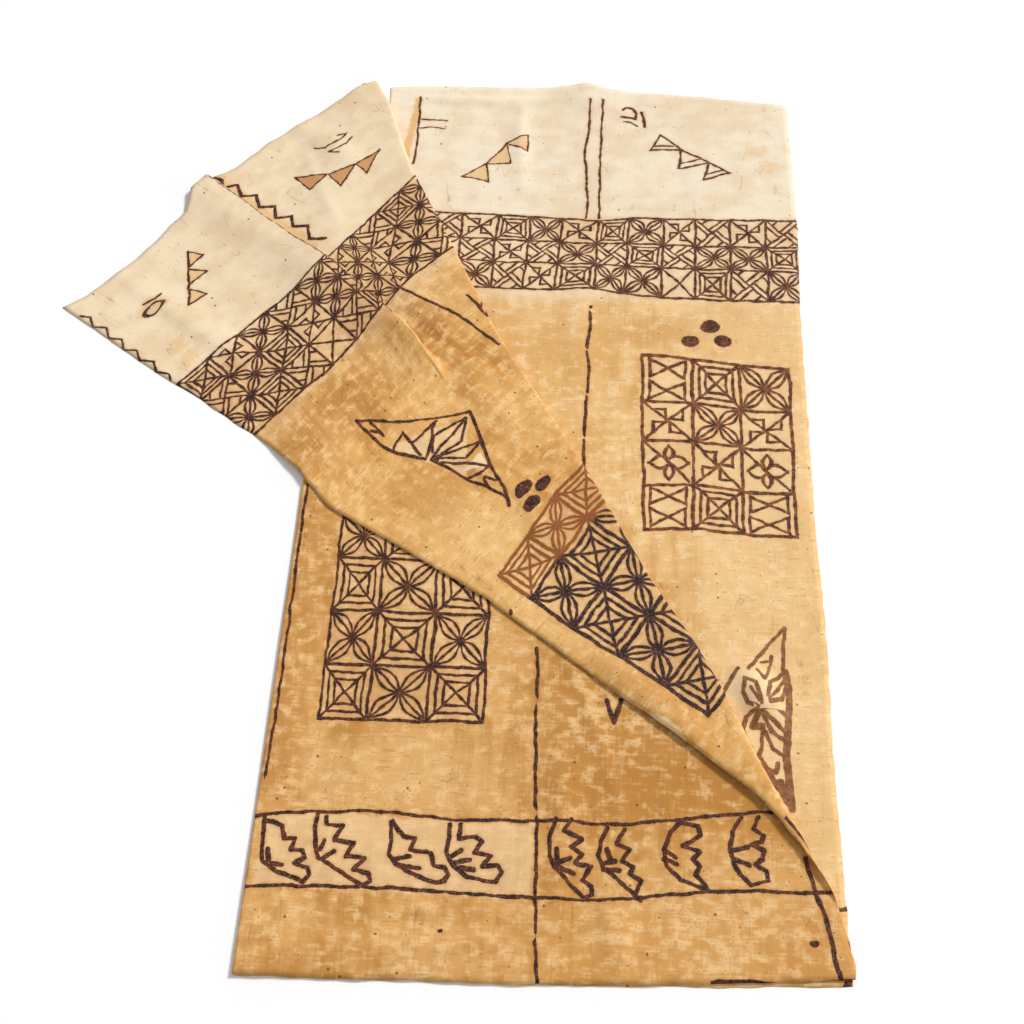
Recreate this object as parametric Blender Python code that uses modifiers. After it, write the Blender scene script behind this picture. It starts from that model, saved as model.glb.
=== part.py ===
# Bark cloth with one half folded over the other and its corner turned back.
#
# The cloth is modelled from the flat: one sheet is laid out open, creased along its fold
# lines, cut to its outline and then folded. Metres, +Z up, resting on z = 0.
#
# Flat coordinates: s runs across the cloth from the long fold, positive on the half that
# stays on the floor, and v runs along it. Three layers come from the one sheet:
#   the floor half, painted face up;
#   the folded half, painted face down, over it;
#   the flap, the far corner of the folded half, turned back face up over both.

import math

import bmesh
import bpy
import numpy as np
from mathutils import Vector

# Sheet
THICKNESS = 0.0015
LAYER_PITCH = 0.0038        # between the middles of two layers that lie on each other
HALF_LENGTH = 0.92          # nominal, the outline tables below give the real edges
COLUMNS = 26
ROWS = 26
SLIVER = 0.0002             # points of the mesh nearer than this are merged
ON_LINE = 0.00001           # points this near a crease line count as on it

# The layout below is measured from a point near the middle; this moves it to the middle
LAYOUT_SHIFT = (-0.0001, 0.0035)

# Long fold, along the left of the footprint
FOLD_MIDDLE = (-0.1989, 0.0)
FOLD_HIGH = (-0.1900, 0.905)
FOLD_RADIUS = 0.0031
FOLD_UNEVEN = 0.20          # share by which the radius swells and shrinks along the fold
FOLD_SETTLE = 0.030         # how far from the fold the upper layer stays lofty

# Turn-back, a slanting fold of the upper half
TURN_TOP = (-0.157, 0.900)
TURN_FOOT = (0.645, -0.716)
TURN_RADIUS = 0.0050
TURN_RADIUS_MOST = 0.0065   # after its swelling and shrinking along the fold
TURN_SETTLE = 0.038
TURN_BOW_REACH = 0.28       # how far from the fold its bow still bends the cloth

# How far the turned fold bows off its straight line, by distance down the line
TURN_BOW = np.array([
    # along, offset
    (0.00, 0.000),
    (0.07, 0.000),
    (0.25, -0.026),
    (0.45, -0.029),
    (0.70, -0.036),
    (0.88, -0.024),
    (1.04, -0.014),
    (1.28, -0.010),
    (1.42, 0.003),
    (1.52, 0.005),
    (1.64, 0.000),
    (1.80, 0.000),
])

# The flap leaves the long fold's edge and comes down to the floor over this reach
DROP_REACH = 0.110

# Pleat in the flap, where its outer panel laps over its inner one
PLEAT_START = 0.470         # across the cloth from the long fold
PLEAT_RADIUS = 0.0022
PLEAT_STRIP = 0.026         # cloth between the two turns of the pleat
PLEAT_SETTLE = 0.020
PLEAT_LEAST_TURN = 0.5      # in degrees, where the pleat has run out
PLEAT_ROWS = np.array([
    # along v, lap, turn in degrees
    (0.20, 0.026, 0.0),
    (0.26, 0.006, 40.0),
    (0.33, 0.006, 105.0),
    (0.49, 0.012, 180.0),
    (0.66, 0.026, 180.0),
    (1.00, 0.026, 180.0),
])

# Outline of the flat sheet
FLAP_SIDE = np.array([
    # v, s
    (-0.90, -0.906),
    (-0.79, -0.881),
    (-0.71, -0.855),
    (-0.58, -0.840),
    (-0.34, -0.832),
    (-0.19, -0.823),
    (-0.07, -0.824),
    (0.13, -0.846),
    (0.35, -0.873),
    (0.49, -0.892),
    (0.67, -0.912),
    (0.97, -0.918),
])
FLOOR_SIDE = np.array([
    # v, s
    (-0.90, 0.904),
    (-0.62, 0.897),
    (0.00, 0.891),
    (0.36, 0.887),
    (0.57, 0.891),
    (0.90, 0.883),
])
TOP_EDGE = np.array([
    # s, v
    (-0.918, 0.972),
    (-0.870, 0.957),
    (-0.740, 0.950),
    (-0.600, 0.962),
    (-0.555, 0.992),
    (-0.440, 0.986),
    (-0.390, 0.968),
    (-0.300, 0.966),
    (-0.200, 0.946),
    (-0.080, 0.922),
    (-0.035, 0.900),
    (0.000, 0.900),
    (0.061, 0.896),
    (0.120, 0.904),
    (0.350, 0.911),
    (0.440, 0.918),
    (0.474, 0.927),
    (0.510, 0.913),
    (0.704, 0.902),
    (0.883, 0.886),
])
FOOT_EDGE = np.array([
    # s, v
    (-0.906, -0.890),
    (-0.720, -0.905),
    (-0.430, -0.920),
    (0.000, -0.928),
    (0.430, -0.920),
    (0.720, -0.909),
    (0.904, -0.898),
])

# Short tear in the top edge of the floor half: its two sides, top and foot
TEAR_LEFT = ((0.018, 0.915), (0.060, 0.836))
TEAR_RIGHT = ((0.061, 0.915), (0.065, 0.836))

# Swellings of each layer: where the cloth stands a little off what is under it
SWELLINGS = {
    # x, y, half length, half width, turn in degrees, height
    "floor": (
        (0.588, -0.445, 0.080, 0.058, 35.0, 0.0110),
        (0.283, 0.905, 0.090, 0.070, 0.0, 0.0070),
        (0.156, 0.760, 0.160, 0.030, 93.0, 0.0035),
        (0.120, 0.868, 0.230, 0.022, 0.0, 0.0030),
        (0.300, 0.330, 0.330, 0.035, 90.0, 0.0030),
        (0.560, 0.440, 0.240, 0.060, 8.0, 0.0030),
        (0.660, 0.000, 0.260, 0.050, 88.0, 0.0028),
    ),
    "folded": (
        (0.262, -0.660, 0.250, 0.034, 91.0, 0.0040),
        (0.352, -0.840, 0.130, 0.030, 96.0, 0.0035),
        (-0.060, -0.600, 0.260, 0.050, 84.0, 0.0025),
        (0.500, -0.720, 0.200, 0.050, 20.0, 0.0040),
        (0.020, -0.880, 0.260, 0.040, 4.0, 0.0030),
    ),
    "flap": (
        (0.400, -0.470, 0.170, 0.034, -40.0, 0.0070),
        (0.090, 0.190, 0.260, 0.050, -58.0, 0.0050),
        (-0.020, 0.060, 0.330, 0.045, -35.0, 0.0035),
        (-0.420, 0.250, 0.230, 0.040, -36.0, 0.0040),
        (-0.250, 0.740, 0.160, 0.045, -36.0, 0.0045),
        (-0.600, 0.440, 0.120, 0.040, 54.0, 0.0050),
        (0.240, -0.160, 0.200, 0.050, -62.0, 0.0045),
    ),
}

# Lines that let the sheet bend, as shares of each bend's reach
ARC_STEPS = (-1.0, -0.67, -0.33, 0.0, 0.33, 0.67, 1.0)
SETTLE_STEPS = (0.5, 1.2, 2.4)
PLEAT_ARC_STEPS = (0.0, 0.25, 0.5, 0.75, 1.0)
DROP_STEPS = (0.0, 0.25, 0.5, 0.75, 1.0)
BULGE_STEPS = (-0.6, -0.35, -0.12, 0.12, 0.35, 0.6)
PLEAT_ROW_STEP = 0.030
PLEAT_ROOM = 0.070          # cloth on either side of the pleat that its lines still cross

# The floor half's strongest swelling, in flat coordinates
BULGE_CENTRE = (0.787, -0.450)
BULGE_REACH = 0.110

# Flat region round the tear: how far across it goes and where it starts along the cloth
TEAR_ROOM = (0.12, 0.80)

BARK_COLOUR = (0.56, 0.34, 0.13, 1.0)
BARK_ROUGHNESS = 0.86


class Line:
    """A straight fold line in the plane, with its own along and across directions."""

    def __init__(self, start, end):
        self.start = np.array(start)
        step = np.array(end) - self.start
        self.along = step / np.linalg.norm(step)
        self.across = np.array((self.along[1], -self.along[0]))
        if self.across[0] < 0.0:
            self.across = -self.across

    def measure(self, points):
        """Distances along the line and across it, positive to its right."""
        offset = points - self.start
        return offset @ self.along, offset @ self.across

    def place(self, along, across):
        """The points at these distances along and across the line."""
        return self.start + np.outer(along, self.along) + np.outer(across, self.across)


LONG_FOLD = Line(FOLD_MIDDLE, FOLD_HIGH)
TURN_FOLD = Line(TURN_TOP, TURN_FOOT)


def read(table, at, column=1):
    """Read a column of a table at the given values of its first column."""
    return np.interp(at, table[:, 0], table[:, column])


def smooth(x):
    """Ease from 0 to 1."""
    x = np.clip(x, 0.0, 1.0)
    return x * x * (3.0 - 2.0 * x)


def settle(distance, reach):
    """Fall from 1 to 0 with distance, level at the start."""
    x = np.maximum(distance, 0.0) / reach
    return (1.0 + x) * np.exp(-x)


def fold_arc(across, radius):
    """Fold a sheet about a line: how far from the fold's edge a point lies, and how high.

    A point at across > 0 stays below, one at across < 0 goes over the top.
    """
    quarter = 0.5 * math.pi * radius
    turn = np.clip(across, -quarter, quarter) / radius
    reach = radius * (1.0 - np.cos(turn)) + np.maximum(np.abs(across) - quarter, 0.0)
    height = radius * (1.0 - np.sin(turn))
    return reach, height


def pleat(q, v):
    """Lay the pleat: the new distance from the long fold, and the rise of the cloth there."""
    lap = read(PLEAT_ROWS, v, 1)
    turn = np.radians(np.maximum(read(PLEAT_ROWS, v, 2), PLEAT_LEAST_TURN))
    arc = math.pi * PLEAT_RADIUS
    bend = arc / turn
    first = np.clip(q - PLEAT_START, 0.0, arc) / arc
    strip = np.clip(q - PLEAT_START - arc, 0.0, PLEAT_STRIP) / PLEAT_STRIP
    second = np.clip(q - PLEAT_START - arc - PLEAT_STRIP, 0.0, arc) / arc
    beyond = np.maximum(q - PLEAT_START - 2.0 * arc - PLEAT_STRIP, 0.0)
    near = np.minimum(q, PLEAT_START)
    across = near + bend * np.sin(turn * first) + strip * lap * np.cos(turn) + beyond
    across += bend * (np.sin(turn) - np.sin(turn * (1.0 - second)))
    rise = bend * (1.0 - np.cos(turn * first)) + strip * lap * np.sin(turn)
    rise += bend * (np.cos(turn * (1.0 - second)) - np.cos(turn))
    on_far_side = second >= 1.0
    fall = settle(across - PLEAT_START - 2.0 * PLEAT_RADIUS, PLEAT_SETTLE)
    return across, np.where(on_far_side, rise * fall, rise)


def swell(layer, points):
    """Height that a layer's own swellings add at these points, none of them below it."""
    height = np.zeros(len(points))
    for x, y, half_length, half_width, degrees, rise in SWELLINGS[layer]:
        along = np.array((math.cos(math.radians(degrees)), math.sin(math.radians(degrees))))
        offset = points - (x, y)
        u = (offset @ along) / half_length
        w = (offset @ np.array((-along[1], along[0]))) / half_width
        height += rise * np.maximum(1.0 - u * u - w * w, 0.0) ** 2
    return height


def fold_radius(along):
    """Radius of the long fold, which swells and shrinks along its length."""
    return FOLD_RADIUS * (1.0 + FOLD_UNEVEN * np.sin(9.0 * along + 0.6) * np.cos(3.7 * along))


def turn_radius(along):
    """Radius of the turned-back fold, softest in its upper half."""
    return TURN_RADIUS * (1.05 + 0.20 * np.sin(5.2 * along) + 0.12 * np.sin(13.0 * along + 1.0))


def folded_height(points):
    """Middle of the folded half above the floor half's middle, at points in plan."""
    along, across = LONG_FOLD.measure(points)
    radius = fold_radius(along)
    loft = 2.0 * radius - LAYER_PITCH
    own = swell("folded", points) * smooth(across / FOLD_SETTLE)
    return LAYER_PITCH + loft * settle(across - radius, FOLD_SETTLE) + own


def fold_sheet(flat):
    """Fold the flat sheet: from rows of s and v to rows of x, y and z."""
    s, v = flat[:, 0], flat[:, 1]
    folded = s < 0.0
    q, rise = pleat(np.abs(s), v)
    q = np.where(folded, q, np.abs(s))
    rise = np.where(folded, rise, 0.0)

    # Long fold
    reach, arc_height = fold_arc(np.where(folded, -q, q), fold_radius(v))
    plan = LONG_FOLD.place(v, reach)
    in_arc = np.abs(s) < 0.5 * math.pi * fold_radius(v)

    # Turned-back fold of the upper half
    along, across = TURN_FOLD.measure(plan)
    radius = turn_radius(along)
    flap = folded & (across > 0.0)
    in_turn = folded & (np.abs(across) < 0.5 * math.pi * radius)
    quarter = 0.5 * math.pi * radius
    turned_reach, turn_height = fold_arc(-across, radius)
    pull = (quarter - radius) * settle(np.abs(across) - quarter, 3.0 * TURN_SETTLE)
    across_folded = np.where(in_turn, -turned_reach, across + pull)
    across_flap = -turned_reach
    across_new = np.where(flap, across_flap, across_folded)
    turned = TURN_FOLD.place(along, across_new)
    plan = np.where(folded[:, None], turned, plan)

    # Heights, from the floor up
    _, beside = LONG_FOLD.measure(plan)
    inside = plan + np.outer(np.maximum(-beside, 0.0), LONG_FOLD.across)
    floor_half = 0.5 * THICKNESS + swell("floor", plan)
    floor_inside = 0.5 * THICKNESS + swell("floor", inside)
    folded_half = floor_inside + folded_height(inside)
    z = np.where(folded, folded_half, floor_half)
    z = np.where(in_arc, floor_half + arc_height, z)
    z = np.where(in_turn, folded_half + turn_height, z)
    loft = 2.0 * radius - LAYER_PITCH
    over = LAYER_PITCH + loft * settle(-across_new - radius, TURN_SETTLE)
    over += swell("flap", plan) * smooth((-across_new - radius) / TURN_SETTLE)
    on_stack = folded_half + over
    dropped = 0.5 * THICKNESS + swell("flap", plan)
    drop = smooth(1.0 + beside / DROP_REACH)
    flap_height = dropped + (on_stack - dropped) * drop + rise
    z = np.where(flap & ~in_turn, flap_height, z)

    # The turned fold is a little bowed, and takes the cloth beside it along
    line_along, line_across = TURN_FOLD.measure(plan)
    bow = read(TURN_BOW, line_along) * np.exp(-((line_across / TURN_BOW_REACH) ** 2))
    plan = plan + np.outer(bow, TURN_FOLD.across) + LAYOUT_SHIFT
    return np.column_stack((plan, z))


def anywhere(centre):
    """Accept every face."""
    return True


def cut(mesh, origin, normal, accepts=anywhere):
    """Crease the flat mesh along a line, only in the faces whose centre is accepted."""
    faces = [face for face in mesh.faces if accepts(face.calc_center_median())]
    edges = {edge for face in faces for edge in face.edges}
    verts = {vert for face in faces for vert in face.verts}
    bmesh.ops.bisect_plane(
        mesh,
        geom=list(verts) + list(edges) + faces,
        dist=ON_LINE,
        plane_co=Vector((origin[0], origin[1], 0.0)),
        plane_no=Vector((normal[0], normal[1], 0.0)),
    )


def mirrored(direction, axis):
    """Mirror a direction in a line through the origin."""
    return 2.0 * np.dot(direction, axis) * axis - np.asarray(direction)


def to_flat(point):
    """Flat coordinates of a point of the folded half, from its place in plan."""
    along, across = LONG_FOLD.measure(np.array([point]))
    return np.array((-across[0], along[0]))


def to_flat_direction(direction):
    """Flat direction of a line across the folded half, from its direction in plan."""
    return np.array((-np.dot(direction, LONG_FOLD.across), np.dot(direction, LONG_FOLD.along)))


def lay_out_sheet(mesh):
    """A flat grid stretched to the sheet's outline, in s and v."""
    bmesh.ops.create_grid(mesh, x_segments=COLUMNS, y_segments=ROWS, size=1.0)
    for vert in mesh.verts:
        row = vert.co.y * HALF_LENGTH
        side = FLOOR_SIDE if vert.co.x > 0.0 else FLAP_SIDE
        s = abs(vert.co.x) * float(read(side, row))
        top, foot = float(read(TOP_EDGE, s)), float(read(FOOT_EDGE, s))
        vert.co = Vector((s, foot + (top - foot) * 0.5 * (vert.co.y + 1.0), 0.0))


def crease_long_fold(mesh):
    """Lines for the long fold and the loft beside it."""
    quarter = 0.5 * math.pi * FOLD_RADIUS * (1.0 + FOLD_UNEVEN)
    for step in ARC_STEPS:
        cut(mesh, (step * quarter, 0.0), (1.0, 0.0))
    for step in SETTLE_STEPS:
        cut(mesh, (-quarter - step * FOLD_SETTLE, 0.0), (1.0, 0.0))


def crease_turn_fold(mesh):
    """Lines for the turned-back fold, the loft beside it and the flap's way down to the floor."""
    normal = to_flat_direction(TURN_FOLD.across)
    top = to_flat(np.array(TURN_TOP))

    def on_folded_half(centre):
        return centre.x < 0.0

    def on_flap(centre):
        return centre.x < 0.0 and np.dot(np.array((centre.x, centre.y)) - top, normal) > 0.0

    quarter = 0.5 * math.pi * TURN_RADIUS_MOST
    offsets = [step * quarter for step in ARC_STEPS]
    offsets += [side * (quarter + step * TURN_SETTLE) for step in SETTLE_STEPS for side in (-1.0, 1.0)]
    for offset in offsets:
        cut(mesh, to_flat(np.array(TURN_TOP) + offset * TURN_FOLD.across), normal, on_folded_half)

    drop_normal = to_flat_direction(mirrored(LONG_FOLD.across, TURN_FOLD.along))
    for step in DROP_STEPS:
        along, across = TURN_FOLD.measure(LONG_FOLD.place([0.0], [-step * DROP_REACH]))
        cut(mesh, to_flat(TURN_FOLD.place(along, -across)[0]), drop_normal, on_flap)


def crease_pleat(mesh):
    """Lines along the two turns of the pleat, and rows across them where it tapers."""
    arc = math.pi * PLEAT_RADIUS
    end = PLEAT_ROWS[0, 0]
    starts = (PLEAT_START, PLEAT_START + arc + PLEAT_STRIP)
    places = [start + step * arc for start in starts for step in PLEAT_ARC_STEPS]
    places += [starts[1] + arc + step * PLEAT_SETTLE for step in SETTLE_STEPS]

    def by_pleat(centre):
        return centre.x < PLEAT_ROOM - PLEAT_START and centre.y > end - 0.5 * PLEAT_ROOM

    def in_pleat(centre):
        return -places[-1] < centre.x < -PLEAT_START and centre.y > end - 0.5 * PLEAT_ROW_STEP

    for place in places:
        cut(mesh, (-place, 0.0), (1.0, 0.0), by_pleat)
    for v in np.arange(end, PLEAT_ROWS[-1, 0], PLEAT_ROW_STEP):
        cut(mesh, (0.0, v), (0.0, 1.0), in_pleat)


def crease_bulge(mesh):
    """Finer cells under the floor half's strongest swelling, beside the turned-back fold."""
    def in_bulge(centre):
        across, along = centre.x - BULGE_CENTRE[0], centre.y - BULGE_CENTRE[1]
        return max(abs(across), abs(along)) < BULGE_REACH

    for step in BULGE_STEPS:
        cut(mesh, (BULGE_CENTRE[0] + step * BULGE_REACH, 0.0), (1.0, 0.0), in_bulge)
        cut(mesh, (0.0, BULGE_CENTRE[1] + step * BULGE_REACH), (0.0, 1.0), in_bulge)


def tear_top_edge(mesh):
    """Take out the narrow tear in the top edge of the floor half."""
    def near_tear(centre):
        return 0.0 < centre.x < TEAR_ROOM[0] and centre.y > TEAR_ROOM[1]

    foot = TEAR_LEFT[1][1]
    sides = []
    for (top_s, top_v), (foot_s, foot_v) in (TEAR_LEFT, TEAR_RIGHT):
        direction = np.array((top_s - foot_s, top_v - foot_v))
        normal = np.array((direction[1], -direction[0]))
        sides.append((np.array((foot_s, foot_v)), normal))
        cut(mesh, (foot_s, foot_v), normal, near_tear)
    cut(mesh, (0.0, foot), (0.0, 1.0), near_tear)

    def in_tear(centre):
        at = np.array((centre.x, centre.y))
        right_of_left = np.dot(at - sides[0][0], sides[0][1]) > 0.0
        left_of_right = np.dot(at - sides[1][0], sides[1][1]) < 0.0
        return near_tear(centre) and centre.y > foot and right_of_left and left_of_right

    doomed = [face for face in mesh.faces if in_tear(face.calc_center_median())]
    bmesh.ops.delete(mesh, geom=doomed, context="FACES")


def bark_material():
    """Plain ground colour of the beaten bark."""
    material = bpy.data.materials.new("bark")
    material.use_nodes = True
    shader = material.node_tree.nodes["Principled BSDF"]
    shader.inputs["Base Color"].default_value = BARK_COLOUR
    shader.inputs["Roughness"].default_value = BARK_ROUGHNESS
    return material


def build_cloth(collection):
    """Lay out, crease, cut and fold the one sheet, then give it its thickness."""
    mesh = bmesh.new()
    lay_out_sheet(mesh)
    crease_long_fold(mesh)
    crease_turn_fold(mesh)
    crease_pleat(mesh)
    crease_bulge(mesh)
    tear_top_edge(mesh)
    bmesh.ops.remove_doubles(mesh, verts=mesh.verts, dist=SLIVER)
    bmesh.ops.triangulate(mesh, faces=mesh.faces)
    flat = np.array([(vert.co.x, vert.co.y) for vert in mesh.verts])
    for vert, place in zip(mesh.verts, fold_sheet(flat)):
        vert.co = Vector(place)
    bmesh.ops.recalc_face_normals(mesh, faces=mesh.faces)

    data = bpy.data.meshes.new("bark_cloth")
    mesh.to_mesh(data)
    mesh.free()
    data.shade_smooth()
    data.materials.append(bark_material())
    cloth = bpy.data.objects.new("bark_cloth", data)
    collection.objects.link(cloth)

    thickness = cloth.modifiers.new("thickness", "SOLIDIFY")
    thickness.thickness = THICKNESS
    thickness.offset = 0.0
    return cloth


def main():
    for item in list(bpy.data.objects):
        bpy.data.objects.remove(item, do_unlink=True)
    collection = bpy.data.collections.new("tapa_bark_cloth")
    bpy.context.scene.collection.children.link(collection)
    build_cloth(collection)


main()
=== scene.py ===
"""Folded bark cloth: the sheet on its folds, the painting on both faces, floor, light and camera."""

import logging
import math
from dataclasses import dataclass, field
from enum import Enum
from functools import cached_property, reduce
from operator import add

import bmesh
import bpy
import numpy as np
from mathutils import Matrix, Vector, noise


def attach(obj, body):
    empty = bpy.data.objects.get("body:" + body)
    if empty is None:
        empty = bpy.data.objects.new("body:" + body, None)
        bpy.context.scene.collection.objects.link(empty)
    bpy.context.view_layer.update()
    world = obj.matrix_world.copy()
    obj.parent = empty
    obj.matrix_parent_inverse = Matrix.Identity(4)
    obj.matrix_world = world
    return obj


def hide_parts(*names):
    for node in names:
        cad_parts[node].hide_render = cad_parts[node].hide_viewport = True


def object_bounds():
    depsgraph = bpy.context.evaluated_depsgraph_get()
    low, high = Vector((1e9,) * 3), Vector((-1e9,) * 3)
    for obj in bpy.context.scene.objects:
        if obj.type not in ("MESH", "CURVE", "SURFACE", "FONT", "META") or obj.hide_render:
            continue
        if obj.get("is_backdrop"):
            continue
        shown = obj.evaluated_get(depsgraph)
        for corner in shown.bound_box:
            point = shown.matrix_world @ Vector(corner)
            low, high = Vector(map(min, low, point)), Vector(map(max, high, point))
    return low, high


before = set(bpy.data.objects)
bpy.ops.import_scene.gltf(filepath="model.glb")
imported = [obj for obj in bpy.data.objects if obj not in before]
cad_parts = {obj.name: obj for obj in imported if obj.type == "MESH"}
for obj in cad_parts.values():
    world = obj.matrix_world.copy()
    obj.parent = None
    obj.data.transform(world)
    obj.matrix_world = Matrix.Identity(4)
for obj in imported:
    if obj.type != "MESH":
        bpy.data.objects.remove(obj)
CAD_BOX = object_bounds()

LOG = logging.getLogger("bark_cloth")
Table = tuple[tuple[float, ...], ...]
Colour = tuple[float, float, float]
FLAT_MAP = "flat"
# keeps the range of a level line above nothing
HAIR = 1e-6
# each painted square's motif travels through the nodes as its number over this
MOTIF_STEPS = 8.0


def linear(red: float, green: float, blue: float) -> Colour:
    """Turn an 8-bit screen colour into linear light.

    Args:
        red: Red, 0 to 255.
        green: Green, 0 to 255.
        blue: Blue, 0 to 255.

    Returns:
        The same colour as linear numbers, 0 to 1.
    """
    shares = (red / 255.0, green / 255.0, blue / 255.0)
    return tuple(c / 12.92 if c <= 0.04045 else ((c + 0.055) / 1.055) ** 2.4 for c in shares)


def smooth(x: np.ndarray) -> np.ndarray:
    """Ease from 0 to 1."""
    x = np.clip(x, 0.0, 1.0)
    return x * x * (3.0 - 2.0 * x)


def settle(distance: np.ndarray, reach: float) -> np.ndarray:
    """Fall from 1 to 0 with distance, level at the start."""
    x = np.maximum(distance, 0.0) / reach
    return (1.0 + x) * np.exp(-x)


def read(table: Table, at: np.ndarray, column: int = 1) -> np.ndarray:
    """Read a column of a table at the given values of its first column.

    Args:
        table: Rows in order of their first column.
        at: Values of the first column.
        column: Which column is read.

    Returns:
        The column's values there, straight between rows.
    """
    rows = np.array(table)
    return np.interp(at, rows[:, 0], rows[:, column])


def ripple(points: np.ndarray, per_metre: float, seed: float) -> np.ndarray:
    """Soft noise from about -1 to 1 at points in the plane.

    Args:
        points: Rows of two coordinates in metres.
        per_metre: How many waves a metre holds.
        seed: Shifts the pattern, so that two calls differ.

    Returns:
        One number for each point.
    """
    return np.array([noise.noise(Vector((x * per_metre, y * per_metre, seed))) for x, y in points])


@dataclass(frozen=True)
class FoldLine:
    """A straight fold line in plan, with directions along it and across it to its right."""

    start: tuple[float, float]
    end: tuple[float, float]

    @cached_property
    def along(self) -> np.ndarray:
        """Unit step along the line."""
        step = np.array(self.end) - np.array(self.start)
        return step / np.linalg.norm(step)

    @cached_property
    def across(self) -> np.ndarray:
        """Unit step across the line, to the right in plan."""
        across = np.array((self.along[1], -self.along[0]))
        return across if across[0] > 0.0 else -across

    def measure(self, points: np.ndarray) -> tuple[np.ndarray, np.ndarray]:
        """Distances of points along the line and across it."""
        offset = points - np.array(self.start)
        return offset @ self.along, offset @ self.across

    def place(self, along: np.ndarray, across: np.ndarray) -> np.ndarray:
        """The points at these distances along and across the line."""
        return np.array(self.start) + np.outer(along, self.along) + np.outer(across, self.across)


@dataclass(frozen=True)
class Pleat:
    """The pleat in the flap, where its outer panel laps over its inner one."""

    start: float = 0.470
    radius: float = 0.0034
    strip: float = 0.0222
    settling: float = 0.026
    least_turn: float = 0.5
    # along v, lap, turn in degrees
    rows: Table = (
        (0.28, 0.0222, 0.0),
        (0.33, 0.0060, 40.0),
        (0.38, 0.0060, 110.0),
        (0.47, 0.0100, 180.0),
        (0.64, 0.0222, 180.0),
        (1.00, 0.0222, 180.0),
    )

    @property
    def arc(self) -> float:
        """Cloth that one turn of the pleat takes."""
        return math.pi * self.radius

    def lay(self, q: np.ndarray, v: np.ndarray) -> tuple[np.ndarray, np.ndarray]:
        """Lay the pleat.

        Args:
            q: Distances from the long fold on the open cloth.
            v: Distances along the long fold.

        Returns:
            The distances from the long fold once pleated, and the rise of the cloth there.
        """
        lap = read(self.rows, v, 1)
        turn = np.radians(np.maximum(read(self.rows, v, 2), self.least_turn))
        arc = self.arc
        bend = arc / turn
        first = np.clip(q - self.start, 0.0, arc) / arc
        strip = np.clip(q - self.start - arc, 0.0, self.strip) / self.strip
        second = np.clip(q - self.start - arc - self.strip, 0.0, arc) / arc
        beyond = np.maximum(q - self.start - 2.0 * arc - self.strip, 0.0)
        across = np.minimum(q, self.start) + bend * np.sin(turn * first) + strip * lap * np.cos(turn) + beyond
        across += bend * (np.sin(turn) - np.sin(turn * (1.0 - second)))
        rise = bend * (1.0 - np.cos(turn * first)) + strip * lap * np.sin(turn)
        rise += bend * (np.cos(turn * (1.0 - second)) - np.cos(turn))
        fall = settle(across - self.start - 2.0 * self.radius, self.settling)
        return across, np.where(second >= 1.0, rise * fall, rise)


class Layer(Enum):
    """The three layers that the one sheet lies in."""

    FLOOR = "floor"
    FOLDED = "folded"
    FLAP = "flap"


@dataclass(frozen=True)
class Swelling:
    """A low oval swelling of one layer, in plan."""

    x: float
    y: float
    half_length: float
    half_width: float
    degrees: float
    height: float

    def rise(self, points: np.ndarray) -> np.ndarray:
        """Height that it adds at these points."""
        turn = math.radians(self.degrees)
        along = np.array((math.cos(turn), math.sin(turn)))
        offset = points - (self.x, self.y)
        u = (offset @ along) / self.half_length
        w = (offset @ np.array((-along[1], along[0]))) / self.half_width
        return self.height * np.maximum(1.0 - u * u - w * w, 0.0) ** 2


@dataclass(frozen=True)
class Crease:
    """A soft ridge (height above 0) or trough (below 0) that runs between two points in plan."""

    x0: float
    y0: float
    x1: float
    y1: float
    half_width: float
    height: float

    def rise(self, points: np.ndarray) -> np.ndarray:
        """Height that it adds at these points."""
        start = np.array((self.x0, self.y0))
        step = np.array((self.x1, self.y1)) - start
        length = float(np.linalg.norm(step))
        along = step / length
        offset = points - start
        t = (offset @ along) / length
        across = (offset @ np.array((-along[1], along[0]))) / self.half_width
        fade = np.maximum(4.0 * t * (1.0 - t), 0.0) ** 0.5
        return self.height * fade * np.exp(-across * across) * ((t > 0.0) & (t < 1.0))


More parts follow.
